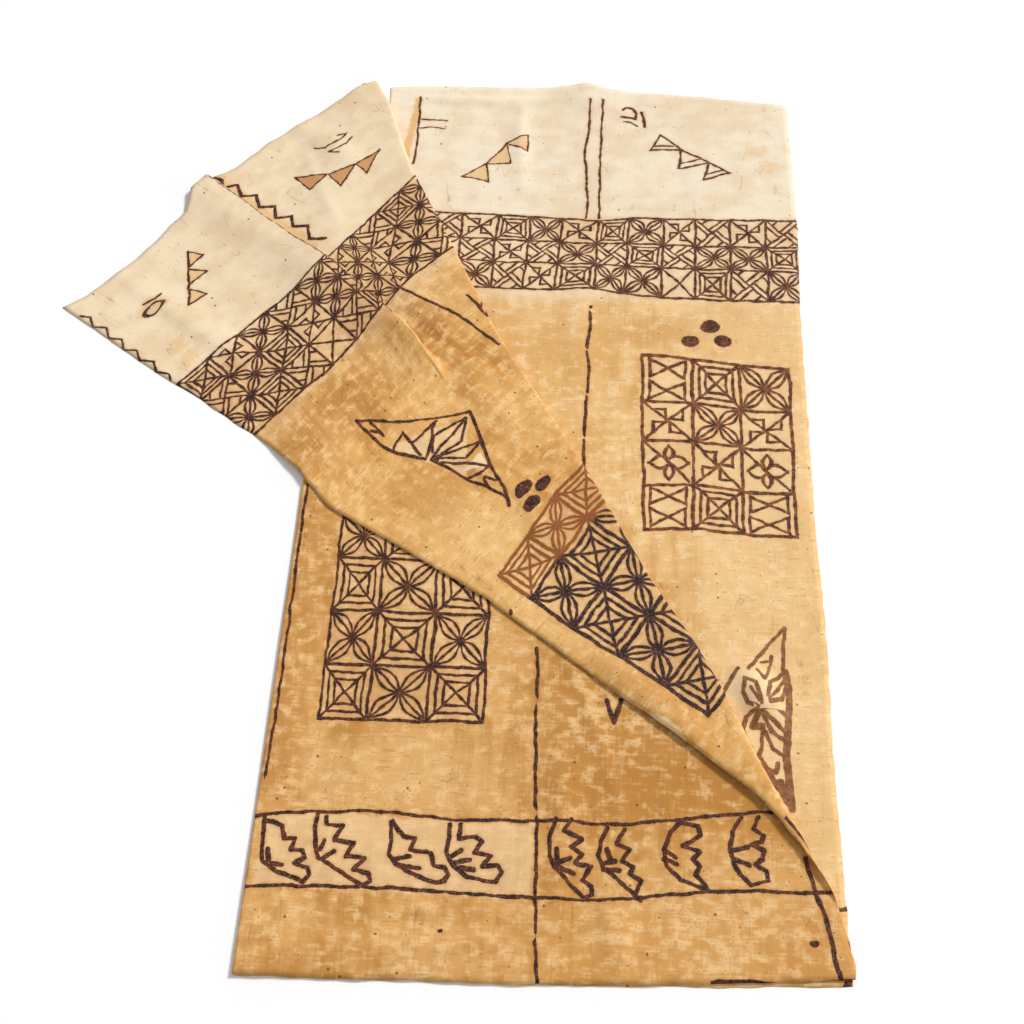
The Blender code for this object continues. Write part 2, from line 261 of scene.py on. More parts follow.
@dataclass(frozen=True)
class Folds:
    """How the open sheet is folded: its fold lines, layer heights, swellings and creases."""

    thickness: float = 0.0010
    layer_pitch: float = 0.0038
    shift: tuple[float, float] = (-0.0001, 0.0035)
    long_fold: FoldLine = FoldLine((-0.1989, 0.0), (-0.1900, 0.905))
    fold_radius_mean: float = 0.0031
    fold_uneven: float = 0.20
    fold_settling: float = 0.030
    turn_fold: FoldLine = FoldLine((-0.157, 0.900), (0.645, -0.716))
    turn_radius_mean: float = 0.0050
    turn_settling: float = 0.038
    turn_bow_reach: float = 0.28
    # along the fold, how far it bows
    turn_bow: Table = (
        (0.00, 0.000), (0.07, 0.000), (0.25, -0.026), (0.45, -0.029), (0.70, -0.036), (0.88, -0.024),
        (1.04, -0.014), (1.28, -0.010), (1.42, 0.003), (1.52, 0.005), (1.64, 0.000), (1.80, 0.000),
    )
    drop_reach: float = 0.110
    pleat: Pleat = Pleat()
    relief: dict[Layer, tuple[Swelling | Crease, ...]] = field(default_factory=dict)

    def swell(self, layer: Layer, points: np.ndarray) -> np.ndarray:
        """Height that a layer's own swellings and creases add at points in plan."""
        return sum((form.rise(points) for form in self.relief[layer]), np.zeros(len(points)))

    def fold_radius(self, along: np.ndarray) -> np.ndarray:
        """Radius of the long fold, which swells and shrinks along its length."""
        sway = np.sin(9.0 * along + 0.6) * np.cos(3.7 * along)
        return self.fold_radius_mean * (1.0 + self.fold_uneven * sway)

    def turn_radius(self, along: np.ndarray) -> np.ndarray:
        """Radius of the turned-back fold, softest in its upper half."""
        sway = 0.20 * np.sin(5.2 * along) + 0.12 * np.sin(13.0 * along + 1.0)
        return self.turn_radius_mean * (1.05 + sway)

    def folded_height(self, points: np.ndarray) -> np.ndarray:
        """Middle of the folded half above the floor half's middle, at points in plan."""
        along, across = self.long_fold.measure(points)
        radius = self.fold_radius(along)
        loft = 2.0 * radius - self.layer_pitch
        own = self.swell(Layer.FOLDED, points) * smooth(across / self.fold_settling)
        return self.layer_pitch + loft * settle(across - radius, self.fold_settling) + own

    @staticmethod
    def arc(across: np.ndarray, radius: np.ndarray) -> tuple[np.ndarray, np.ndarray]:
        """Fold a sheet about a line.

        Args:
            across: Distances across the line; above 0 stays below, below 0 goes over the top.
            radius: Radius of the fold.

        Returns:
            How far from the fold's edge each point lies, and how high.
        """
        quarter = 0.5 * math.pi * radius
        turn = np.clip(across, -quarter, quarter) / radius
        reach = radius * (1.0 - np.cos(turn)) + np.maximum(np.abs(across) - quarter, 0.0)
        return reach, radius * (1.0 - np.sin(turn))

    def fold(self, flat: np.ndarray) -> np.ndarray:
        """Fold the open sheet.

        Args:
            flat: Rows of s, across the cloth from the long fold, and v, along it.

        Returns:
            Rows of x, y and z of the sheet's middle.
        """
        s, v = flat[:, 0], flat[:, 1]
        folded = s < 0.0
        pleated, rise = self.pleat.lay(np.abs(s), v)
        q = np.where(folded, pleated, np.abs(s))
        rise = np.where(folded, rise, 0.0)

        reach, arc_height = self.arc(np.where(folded, -q, q), self.fold_radius(v))
        plan = self.long_fold.place(v, reach)
        in_arc = np.abs(s) < 0.5 * math.pi * self.fold_radius(v)

        along, across = self.turn_fold.measure(plan)
        radius = self.turn_radius(along)
        quarter = 0.5 * math.pi * radius
        flap = folded & (across > 0.0)
        in_turn = folded & (np.abs(across) < quarter)
        turned_reach, turn_height = self.arc(-across, radius)
        pull = (quarter - radius) * settle(np.abs(across) - quarter, 3.0 * self.turn_settling)
        across_new = np.where(flap | in_turn, -turned_reach, across + pull)
        plan = np.where(folded[:, None], self.turn_fold.place(along, across_new), plan)

        _, beside = self.long_fold.measure(plan)
        inside = plan + np.outer(np.maximum(-beside, 0.0), self.long_fold.across)
        ground = 0.5 * self.thickness
        floor_half = ground + self.swell(Layer.FLOOR, plan)
        folded_half = ground + self.swell(Layer.FLOOR, inside) + self.folded_height(inside)
        z = np.where(folded, folded_half, floor_half)
        z = np.where(in_arc, floor_half + arc_height, z)
        z = np.where(in_turn, folded_half + turn_height, z)
        loft = 2.0 * radius - self.layer_pitch
        own = self.swell(Layer.FLAP, plan)
        over = self.layer_pitch + loft * settle(-across_new - radius, self.turn_settling)
        over += own * smooth((-across_new - radius) / self.turn_settling)
        dropped = ground + own
        drop = smooth(1.0 + beside / self.drop_reach)
        flap_height = dropped + (folded_half + over - dropped) * drop + rise
        z = np.where(flap & ~in_turn, flap_height, z)

        line_along, line_across = self.turn_fold.measure(plan)
        bow = read(self.turn_bow, line_along) * np.exp(-((line_across / self.turn_bow_reach) ** 2))
        plan = plan + np.outer(bow, self.turn_fold.across) + self.shift
        return np.column_stack((plan, np.maximum(z, ground)))


RELIEF = {
    Layer.FLOOR: (
        # x, y, half length, half width, turn in degrees, height
        Swelling(0.576, -0.455, 0.085, 0.048, -62.0, 0.0165),
        Swelling(0.283, 0.905, 0.090, 0.070, 0.0, 0.0070),
        Swelling(0.156, 0.760, 0.160, 0.030, 93.0, 0.0035),
        Swelling(0.120, 0.868, 0.230, 0.022, 0.0, 0.0030),
        Swelling(0.300, 0.330, 0.330, 0.035, 90.0, 0.0030),
        Swelling(0.560, 0.440, 0.240, 0.060, 8.0, 0.0030),
        Swelling(0.660, 0.000, 0.260, 0.050, 88.0, 0.0028),
        # x, y of both ends, half width, height
        Crease(0.152, 0.858, 0.173, 0.621, 0.007, 0.0030),
        Crease(-0.066, 0.863, 0.120, 0.868, 0.007, 0.0022),
        Crease(0.160, 0.872, 0.302, 0.885, 0.006, 0.0026),
        Crease(0.417, 0.514, 0.501, 0.356, 0.009, 0.0016),
        Crease(0.450, -0.220, 0.610, -0.262, 0.010, 0.0018),
    ),
    Layer.FOLDED: (
        Swelling(0.262, -0.660, 0.250, 0.034, 91.0, 0.0040),
        Swelling(0.352, -0.840, 0.130, 0.030, 96.0, 0.0035),
        Swelling(-0.060, -0.600, 0.260, 0.050, 84.0, 0.0025),
        Swelling(0.500, -0.720, 0.200, 0.050, 20.0, 0.0040),
        Swelling(0.020, -0.880, 0.260, 0.040, 4.0, 0.0030),
        Crease(0.255, -0.366, 0.385, -0.730, 0.010, 0.0028),
        Crease(-0.120, -0.819, 0.207, -0.821, 0.009, 0.0024),
        Crease(0.325, -0.778, 0.341, -0.888, 0.007, 0.0028),
        Crease(0.420, -0.560, 0.440, -0.880, 0.008, 0.0020),
    ),
    Layer.FLAP: (
        Swelling(0.400, -0.470, 0.170, 0.034, -40.0, 0.0070),
        Swelling(0.090, 0.190, 0.260, 0.050, -58.0, 0.0050),
        Swelling(-0.020, 0.060, 0.330, 0.045, -35.0, 0.0035),
        Swelling(-0.420, 0.250, 0.230, 0.040, -36.0, 0.0040),
        Swelling(-0.250, 0.740, 0.160, 0.045, -36.0, 0.0045),
        Swelling(-0.600, 0.440, 0.120, 0.040, 54.0, 0.0050),
        Swelling(0.240, -0.160, 0.200, 0.050, -62.0, 0.0045),
        Crease(-0.079, 0.332, 0.132, 0.173, 0.011, -0.0036),
        Crease(-0.065, 0.290, 0.243, 0.115, 0.012, 0.0050),
        Crease(-0.300, 0.737, -0.175, 0.502, 0.009, 0.0022),
        Crease(-0.645, 0.394, -0.325, 0.158, 0.012, 0.0022),
        Crease(0.012, 0.061, 0.146, -0.141, 0.010, -0.0018),
    ),
}


@dataclass(frozen=True)
class Outline:
    """The open sheet's outline, and the short tear in its top edge."""

    half_length: float = 0.92
    # v, s
    flap_side: Table = (
        (-0.90, -0.906), (-0.79, -0.881), (-0.71, -0.853), (-0.62, -0.830), (-0.52, -0.829),
        (-0.34, -0.832), (-0.19, -0.823), (-0.07, -0.824), (0.13, -0.846), (0.35, -0.873),
        (0.49, -0.892), (0.67, -0.912), (0.97, -0.918),
    )
    floor_side: Table = (
        (-0.90, 0.904), (-0.62, 0.897), (0.00, 0.891), (0.36, 0.887), (0.57, 0.891), (0.90, 0.883),
    )
    # s, v
    top_edge: Table = (
        (-0.918, 0.972), (-0.870, 0.957), (-0.740, 0.950), (-0.600, 0.962), (-0.555, 0.992),
        (-0.440, 0.986), (-0.390, 0.968), (-0.300, 0.966), (-0.200, 0.946), (-0.080, 0.922),
        (-0.035, 0.900), (0.000, 0.900), (0.061, 0.896), (0.120, 0.904), (0.350, 0.911),
        (0.440, 0.918), (0.474, 0.927), (0.510, 0.913), (0.704, 0.902), (0.883, 0.886),
    )
    foot_edge: Table = (
        (-0.906, -0.890), (-0.720, -0.905), (-0.430, -0.920), (0.000, -0.928),
        (0.430, -0.920), (0.720, -0.909), (0.904, -0.898),
    )
    tear_left: Table = ((0.018, 0.915), (0.060, 0.836))
    tear_right: Table = ((0.061, 0.915), (0.065, 0.836))
    tear_room: tuple[float, float] = (0.12, 0.80)
    raggedness: float = 0.0024
    # waves a metre, seed
    side_ripple: tuple[float, float] = (34.0, 3.1)
    top_ripple: tuple[float, float] = (38.0, 7.7)
    foot_ripple: tuple[float, float] = (30.0, 9.3)


@dataclass
class FlatSheet:
    """The open sheet as a mesh in its own flat coordinates, with lines where it bends."""

    folds: Folds
    outline: Outline
    columns: int = 184
    rows: int = 192
    arc_steps: tuple[float, ...] = (-1.0, -0.75, -0.5, -0.25, 0.0, 0.25, 0.5, 0.75, 1.0)
    pleat_steps: tuple[float, ...] = (0.0, 0.2, 0.4, 0.6, 0.8, 1.0)
    turn_radius_most: float = 0.0065
    pleat_room: float = 0.070
    sliver: float = 0.0003
    on_line: float = 0.00001

    def build(self) -> bmesh.types.BMesh:
        """Lay the sheet out, line it for its bends and cut the tear.

        Returns:
            The flat mesh, s and v in its x and y.
        """
        sheet = bmesh.new()
        bmesh.ops.create_grid(sheet, x_segments=self.columns, y_segments=self.rows, size=1.0)
        self.stretch(sheet)
        self.line_long_fold(sheet)
        self.line_turn_fold(sheet)
        self.line_pleat(sheet)
        self.tear(sheet)
        bmesh.ops.remove_doubles(sheet, verts=sheet.verts, dist=self.sliver)
        return sheet

    def stretch(self, sheet: bmesh.types.BMesh) -> None:
        """Stretch the grid to the outline, a little ragged all round."""
        unit = np.array([vert.co[:2] for vert in sheet.verts])
        v = unit[:, 1] * self.outline.half_length
        side = np.where(unit[:, 0] > 0.0, read(self.outline.floor_side, v),
                        read(self.outline.flap_side, v))
        outline, ragged = self.outline, self.outline.raggedness
        side = side + ragged * ripple(np.column_stack((np.sign(unit[:, 0]), v)), *outline.side_ripple)
        s = np.abs(unit[:, 0]) * side
        level = np.column_stack((s, 0.0 * s))
        top = read(outline.top_edge, s) + ragged * ripple(level, *outline.top_ripple)
        foot = read(outline.foot_edge, s) + ragged * ripple(level, *outline.foot_ripple)
        v = foot + (top - foot) * 0.5 * (unit[:, 1] + 1.0)
        for vert, place in zip(sheet.verts, zip(s, v)):
            vert.co = Vector((*place, 0.0))

    def line(self, sheet: bmesh.types.BMesh, origin: np.ndarray, normal: np.ndarray,
             reach: tuple) -> None:
        """Add a line of edges across the faces inside a rectangle.

        Args:
            sheet: The flat mesh.
            origin: A point on the line.
            normal: Direction square to the line.
            reach: Least s, most s, least v and most v of the faces that are lined.
        """
        least_s, most_s, least_v, most_v = reach
        centres = [(face, face.calc_center_median()) for face in sheet.faces]
        faces = [face for face, at in centres if least_s < at.x < most_s and least_v < at.y < most_v]
        edges = {edge for face in faces for edge in face.edges}
        verts = {vert for face in faces for vert in face.verts}
        bmesh.ops.bisect_plane(
            sheet,
            geom=list(verts) + list(edges) + faces,
            dist=self.on_line,
            plane_co=Vector((origin[0], origin[1], 0.0)),
            plane_no=Vector((normal[0], normal[1], 0.0)),
        )

    def line_long_fold(self, sheet: bmesh.types.BMesh) -> None:
        """Lines round the long fold."""
        quarter = 0.5 * math.pi * self.folds.fold_radius_mean * (1.0 + self.folds.fold_uneven)
        for step in self.arc_steps:
            self.line(sheet, (step * quarter, 0.0), (1.0, 0.0), (-0.1, 0.1, -1.0, 1.1))

    def line_turn_fold(self, sheet: bmesh.types.BMesh) -> None:
        """Lines round the turned-back fold."""
        long_fold, turn_fold = self.folds.long_fold, self.folds.turn_fold
        normal = np.array((-turn_fold.across @ long_fold.across, turn_fold.across @ long_fold.along))
        quarter = 0.5 * math.pi * self.turn_radius_most
        for step in self.arc_steps:
            point = np.array([turn_fold.start]) + step * quarter * turn_fold.across
            along, across = long_fold.measure(point)
            self.line(sheet, (-across[0], along[0]), normal, (-1.0, 0.0, -1.0, 1.1))

    def line_pleat(self, sheet: bmesh.types.BMesh) -> None:
        """Lines along the two turns of the pleat."""
        pleat = self.folds.pleat
        starts = (pleat.start, pleat.start + pleat.arc + pleat.strip)
        reach = (-1.0, self.pleat_room - pleat.start, pleat.rows[0][0] - self.pleat_room, 1.1)
        for place in [start + step * pleat.arc for start in starts for step in self.pleat_steps]:
            self.line(sheet, (-place, 0.0), (1.0, 0.0), reach)

    def tear(self, sheet: bmesh.types.BMesh) -> None:
        """Take out the narrow tear in the top edge of the floor half."""
        most_s, least_v = self.outline.tear_room
        reach = (0.0, most_s, least_v, 1.1)
        foot = self.outline.tear_left[1]
        sides = []
        for top, low in (self.outline.tear_left, self.outline.tear_right):
            step = np.array(top) - np.array(low)
            normal = np.array((step[1], -step[0]))
            sides.append((np.array(low), normal))
            self.line(sheet, low, normal, reach)
        self.line(sheet, foot, (0.0, 1.0), reach)
        doomed = []
        for face in sheet.faces:
            at = np.array(face.calc_center_median()[:2])
            right_of_left = (at - sides[0][0]) @ sides[0][1] > 0.0
            left_of_right = (at - sides[1][0]) @ sides[1][1] < 0.0
            if 0.0 < at[0] < most_s and at[1] > foot[1] and right_of_left and left_of_right:
                doomed.append(face)
        bmesh.ops.delete(sheet, geom=doomed, context="FACES")


class Val:
    """A number that changes over the cloth: one shader socket with Python's operators."""

    def __init__(self, box: "Paintbox", socket: bpy.types.NodeSocket) -> None:
        """Wrap a socket of a paintbox's nodes."""
        self.box = box
        self.socket = socket

    def __add__(self, other: "Val | float") -> "Val":
        """Sum."""
        return self.box.maths("ADD", self, other)

    __radd__ = __add__

    def __sub__(self, other: "Val | float") -> "Val":
        """Difference."""
        return self.box.maths("SUBTRACT", self, other)

    def __rsub__(self, other: "Val | float") -> "Val":
        """Difference with the number first."""
        return self.box.maths("SUBTRACT", other, self)

    def __mul__(self, other: "Val | float") -> "Val":
        """Product."""
        return self.box.maths("MULTIPLY", self, other)

    __rmul__ = __mul__

    def __truediv__(self, other: "Val | float") -> "Val":
        """Quotient."""
        return self.box.maths("DIVIDE", self, other)

    def __abs__(self) -> "Val":
        """Size without its sign."""
        return self.box.maths("ABSOLUTE", self)

    def __gt__(self, other: "Val | float") -> "Val":
        """1 where it is greater, else 0."""
        return self.box.maths("GREATER_THAN", self, other)

    def lesser(self, other: "Val | float") -> "Val":
        """The lesser of two numbers."""
        return self.box.maths("MINIMUM", self, other)

    def greater(self, other: "Val | float") -> "Val":
        """The greater of two numbers."""
        return self.box.maths("MAXIMUM", self, other)

    def floor(self) -> "Val":
        """The whole number below."""
        return self.box.maths("FLOOR", self)

    def clamped(self) -> "Val":
        """Held between 0 and 1."""
        return self.box.maths("ADD", self, 0.0, clamp=True)

    def wave(self, half_period: float) -> "Val":
        """A straight-sided wave from 0 up to the half period and back."""
        return self.box.maths("PINGPONG", self, half_period)

    def outside(self, low: float, high: float) -> "Val":
        """How far it is outside a range, below 0 inside it."""
        return abs(self - 0.5 * (low + high)) - 0.5 * (high - low)

    def eased(self, low: float, high: float, first: float = 0.0, last: float = 1.0) -> "Val":
        """Go smoothly from one value to another.

        Args:
            low: Number at which it leaves the first value.
            high: Number at which it reaches the last value.
            first: Value up to low.
            last: Value from high on.

        Returns:
            The eased value.
        """
        settings = {"interpolation_type": "SMOOTHSTEP"}
        node = self.box.add("ShaderNodeMapRange", settings, {0: self, 1: low, 2: high, 3: first, 4: last})
        return Val(self.box, node.outputs[0])

    def looked_up(self, stops: Table, low: float, high: float, stepped: bool = False) -> "Val":
        """Read a table of two columns at this number.

        Args:
            stops: Rows of a number from low to high and the value there, from 0 to 1.
            low: Number at the table's start.
            high: Number at its end.
            stepped: Whether each value holds until the next row, in place of a straight run.

        Returns:
            The value read.
        """
        share = self.box.add("ShaderNodeMapRange", {}, {0: self, 1: low, 2: high}).outputs[0]
        rows = [((at - low) / (high - low), value) for at, value in stops]
        kind = "CONSTANT" if stepped else "LINEAR"
        node = self.box.add("ShaderNodeValToRGB", {"kind": kind, "stops": rows}, {0: share})
        return Val(self.box, node.outputs[0])

    def course(self, table: Table) -> "Val":
        """Read a wandering line, whose second column may have any range, at this number."""
        least = min(value for _, value in table)
        spread = max(value for _, value in table) - least + HAIR
        stops = tuple((at, (value - least) / spread) for at, value in table)
        return self.looked_up(stops, table[0][0], table[-1][0]) * spread + least


class Paintbox:
    """The nodes of one material."""

    def __init__(self, name: str) -> None:
        """Start a material that has only its output."""
        self.material = bpy.data.materials.new(name)
        self.material.use_nodes = True
        self.tree = self.material.node_tree
        self.tree.nodes.clear()

    def add(self, kind: str, settings: dict[str, object],
            inputs: dict[int | str, object]) -> bpy.types.Node:
        """Add one node.

        Args:
            kind: The node's type.
            settings: Its properties; for a ramp, its stops and their kind.
            inputs: Values or links for its sockets, by number or name.

        Returns:
            The new node.
        """
        node = self.tree.nodes.new(kind)
        rest = dict(settings)
        if "stops" in rest:
            ramp = node.color_ramp
            ramp.interpolation = rest.pop("kind")
            stops = rest.pop("stops")
            while len(ramp.elements) < len(stops):
                ramp.elements.new(1.0)
            for element, (at, value) in zip(ramp.elements, stops):
                element.position = at
                element.color = (value, value, value, 1.0)
        for key, value in rest.items():
            setattr(node, key, value)
        for key, value in inputs.items():
            self.feed(node.inputs[key], value)
        return node

    def feed(self, socket: bpy.types.NodeSocket, value: object) -> None:
        """Link a socket to a value, or set it to a number, colour or vector."""
        if isinstance(value, Val):
            self.tree.links.new(value.socket, socket)
        elif isinstance(value, bpy.types.NodeSocket):
            self.tree.links.new(value, socket)
        elif socket.type == "RGBA":
            socket.default_value = (*value, 1.0)
        else:
            socket.default_value = value

    def maths(self, operation: str, *values: "Val | float", clamp: bool = False) -> Val:
        """Add a Math node on numbers."""
        settings = {"operation": operation, "use_clamp": clamp}
        return Val(self, self.add("ShaderNodeMath", settings, dict(enumerate(values))).outputs[0])

    def vector(self, operation: str, *values: object) -> bpy.types.NodeSocket:
        """Add a Vector Math node and return its vector."""
        return self.add("ShaderNodeVectorMath", {"operation": operation},
                        dict(enumerate(values))).outputs[0]

    def scaled(self, vector: tuple[float, float, float], scale: Val) -> bpy.types.NodeSocket:
        """A fixed vector times a number that changes over the cloth."""
        return self.add("ShaderNodeVectorMath", {"operation": "SCALE"},
                        {0: vector, "Scale": scale}).outputs[0]

    def measure(self, operation: str, *values: object) -> Val:
        """Add a Vector Math node and return its number, such as a length or a dot product."""
        node = self.add("ShaderNodeVectorMath", {"operation": operation}, dict(enumerate(values)))
        return Val(self, node.outputs["Value"])

    def noise(self, place: bpy.types.NodeSocket, stretch: tuple[float, float],
              detail: float) -> Val:
        """Noise over the cloth.

        Args:
            place: Where on the open cloth.
            stretch: How many waves a metre holds across and along the cloth.
            detail: Octaves.

        Returns:
            A number around one half.
        """
        at = self.vector("MULTIPLY", place, (*stretch, 1.0))
        settings = {"noise_dimensions": "2D"}
        node = self.add("ShaderNodeTexNoise", settings, {"Vector": at, "Scale": 1.0, "Detail": detail})
        return Val(self, node.outputs[0])

    def mix(self, share: "Val | float", first: object, second: object) -> bpy.types.NodeSocket:
        """Mix two colours by a share."""
        node = self.add("ShaderNodeMix", {"data_type": "RGBA"}, {0: share, 6: first, 7: second})
        return node.outputs[2]


class Place:
    """Where on the open cloth a point of the surface is, across and along it in metres."""

    def __init__(self, box: Paintbox, vector: bpy.types.NodeSocket) -> None:
        """Split a vector into its two numbers."""
        self.box = box
        self.vector = vector
        parts = box.add("ShaderNodeSeparateXYZ", {}, {0: vector})
        self.x = Val(box, parts.outputs[0])
        self.y = Val(box, parts.outputs[1])

    def segment(self, start: tuple[float, float], end: tuple[float, float]) -> Val:
        """Distance from the straight line between two points.

        Args:
            start: One end.
            end: The other end.

        Returns:
            The distance in metres.
        """
        step = (end[0] - start[0], end[1] - start[1], 0.0)
        square = step[0] ** 2 + step[1] ** 2
        offset = self.box.vector("SUBTRACT", self.vector, (*start, 0.0))
        share = self.box.measure("DOT_PRODUCT", offset, tuple(c / square for c in step)).clamped()
        return self.box.measure("DISTANCE", offset, self.box.scaled(step, share))


def union(parts: list[Val]) -> Val:
    """The nearest of several signed distances."""
    return reduce(lambda first, second: first.lesser(second), parts)


@dataclass(frozen=True)
class Stroke:
    """A painted line through a few points."""

    points: Table
    width: float

    def line(self, at: Place) -> Val:
        """Signed distance from the painted line, below 0 inside it."""
        return union([at.segment(a, b) for a, b in zip(self.points, self.points[1:])]) - 0.5 * self.width


@dataclass(frozen=True)
class Course:
    """A long wandering line from rows of its place along the cloth, or across it if along_x, and aside."""

    rows: Table
    width: float
    along_x: bool = False
    slant: float = 1.0
    dashes: float = 0.0
    dash_slant: float = 0.7
    gap_share: float = 0.12
    gap_depth: float = 0.003

    def line(self, at: Place) -> Val:
        """Signed distance from the line, below 0 inside it."""
        run, aside = (at.x, at.y) if self.along_x else (at.y, at.x)
        distance = abs(aside - run.course(self.rows)) * self.slant
        distance = distance.greater(run.outside(self.rows[0][0], self.rows[-1][0])) - 0.5 * self.width
        if self.dashes:
            dash = (run + aside * self.dash_slant).wave(self.dashes)
            distance = distance + dash.eased(0.0, self.gap_share * self.dashes, self.gap_depth, 0.0)
        return distance


@dataclass(frozen=True)
class Wave:
    """A zigzag along the cloth."""

    x: float
    low: float
    high: float
    half_period: float
    depth: float
    width: float

    def line(self, at: Place) -> Val:
        """Signed distance from the zigzag, below 0 inside it."""
        slope = self.depth / self.half_period
        zigzag = (at.y - self.low).wave(self.half_period) * slope + self.x
        distance = abs(at.x - zigzag) * (1.0 / math.hypot(1.0, slope))
        return distance.greater(at.y.outside(self.low, self.high)) - 0.5 * self.width


@dataclass(frozen=True)
class Pennant:
    """A painted triangle, open or filled."""

    corners: Table
    width: float = 0.0030

    def line(self, at: Place) -> Val:
        """Signed distance from its outline, below 0 inside the line."""
        return Stroke((*self.corners, self.corners[0]), self.width).line(at)

    def fill(self, at: Place) -> Val:
        """Signed distance from the whole triangle, below 0 inside it."""
        (x0, y0), (x1, y1), (x2, y2) = self.corners
        turn = 1.0 if (x1 - x0) * (y2 - y0) - (y1 - y0) * (x2 - x0) > 0.0 else -1.0
        sides = []
        for (ax, ay), (bx, by) in zip(self.corners, (*self.corners[1:], self.corners[0])):
            length = math.hypot(bx - ax, by - ay)
            normal = (turn * (by - ay) / length, -turn * (bx - ax) / length)
            sides.append(at.x * normal[0] + at.y * normal[1] - (ax * normal[0] + ay * normal[1]))
        return sides[0].greater(sides[1]).greater(sides[2])


@dataclass(frozen=True)
class Oval:
    """An oval spot, or with a ring width only its ring."""

    x: float
    y: float
    half_length: float
    half_width: float
    degrees: float = 0.0
    ring: float = 0.0

    def line(self, at: Place) -> Val:
        """Signed distance from the oval, below 0 inside it."""
        turn = math.radians(self.degrees)
        cos, sin = math.cos(turn), math.sin(turn)
        dx, dy = at.x - self.x, at.y - self.y
        u = (dx * cos + dy * sin) * (1.0 / self.half_length)
        w = (dy * cos - dx * sin) * (1.0 / self.half_width)
        reach = at.box.maths("SQRT", u * u + w * w)
        distance = (reach - 1.0) * min(self.half_length, self.half_width)
        return abs(distance) - 0.5 * self.ring if self.ring else distance

    def fill(self, at: Place) -> Val:
        """Signed distance from the whole oval."""
        return self.line(at)


@dataclass(frozen=True)
class Patch:
    """A rectangle of the cloth."""

    least_x: float
    most_x: float
    least_y: float
    most_y: float

    def fill(self, at: Place) -> Val:
        """Signed distance from the rectangle, below 0 inside it."""
        return at.x.outside(self.least_x, self.most_x).greater(at.y.outside(self.least_y, self.most_y))


class Motif(Enum):
    """The motifs of the painted squares, each by its letter in a chart."""

    SQUARES = "S"
    PETALS = "P"
    HATCH = "H"
    WHEEL = "W"
    CROSS = "X"
    BOWS = "B"
    SPRIG = "L"


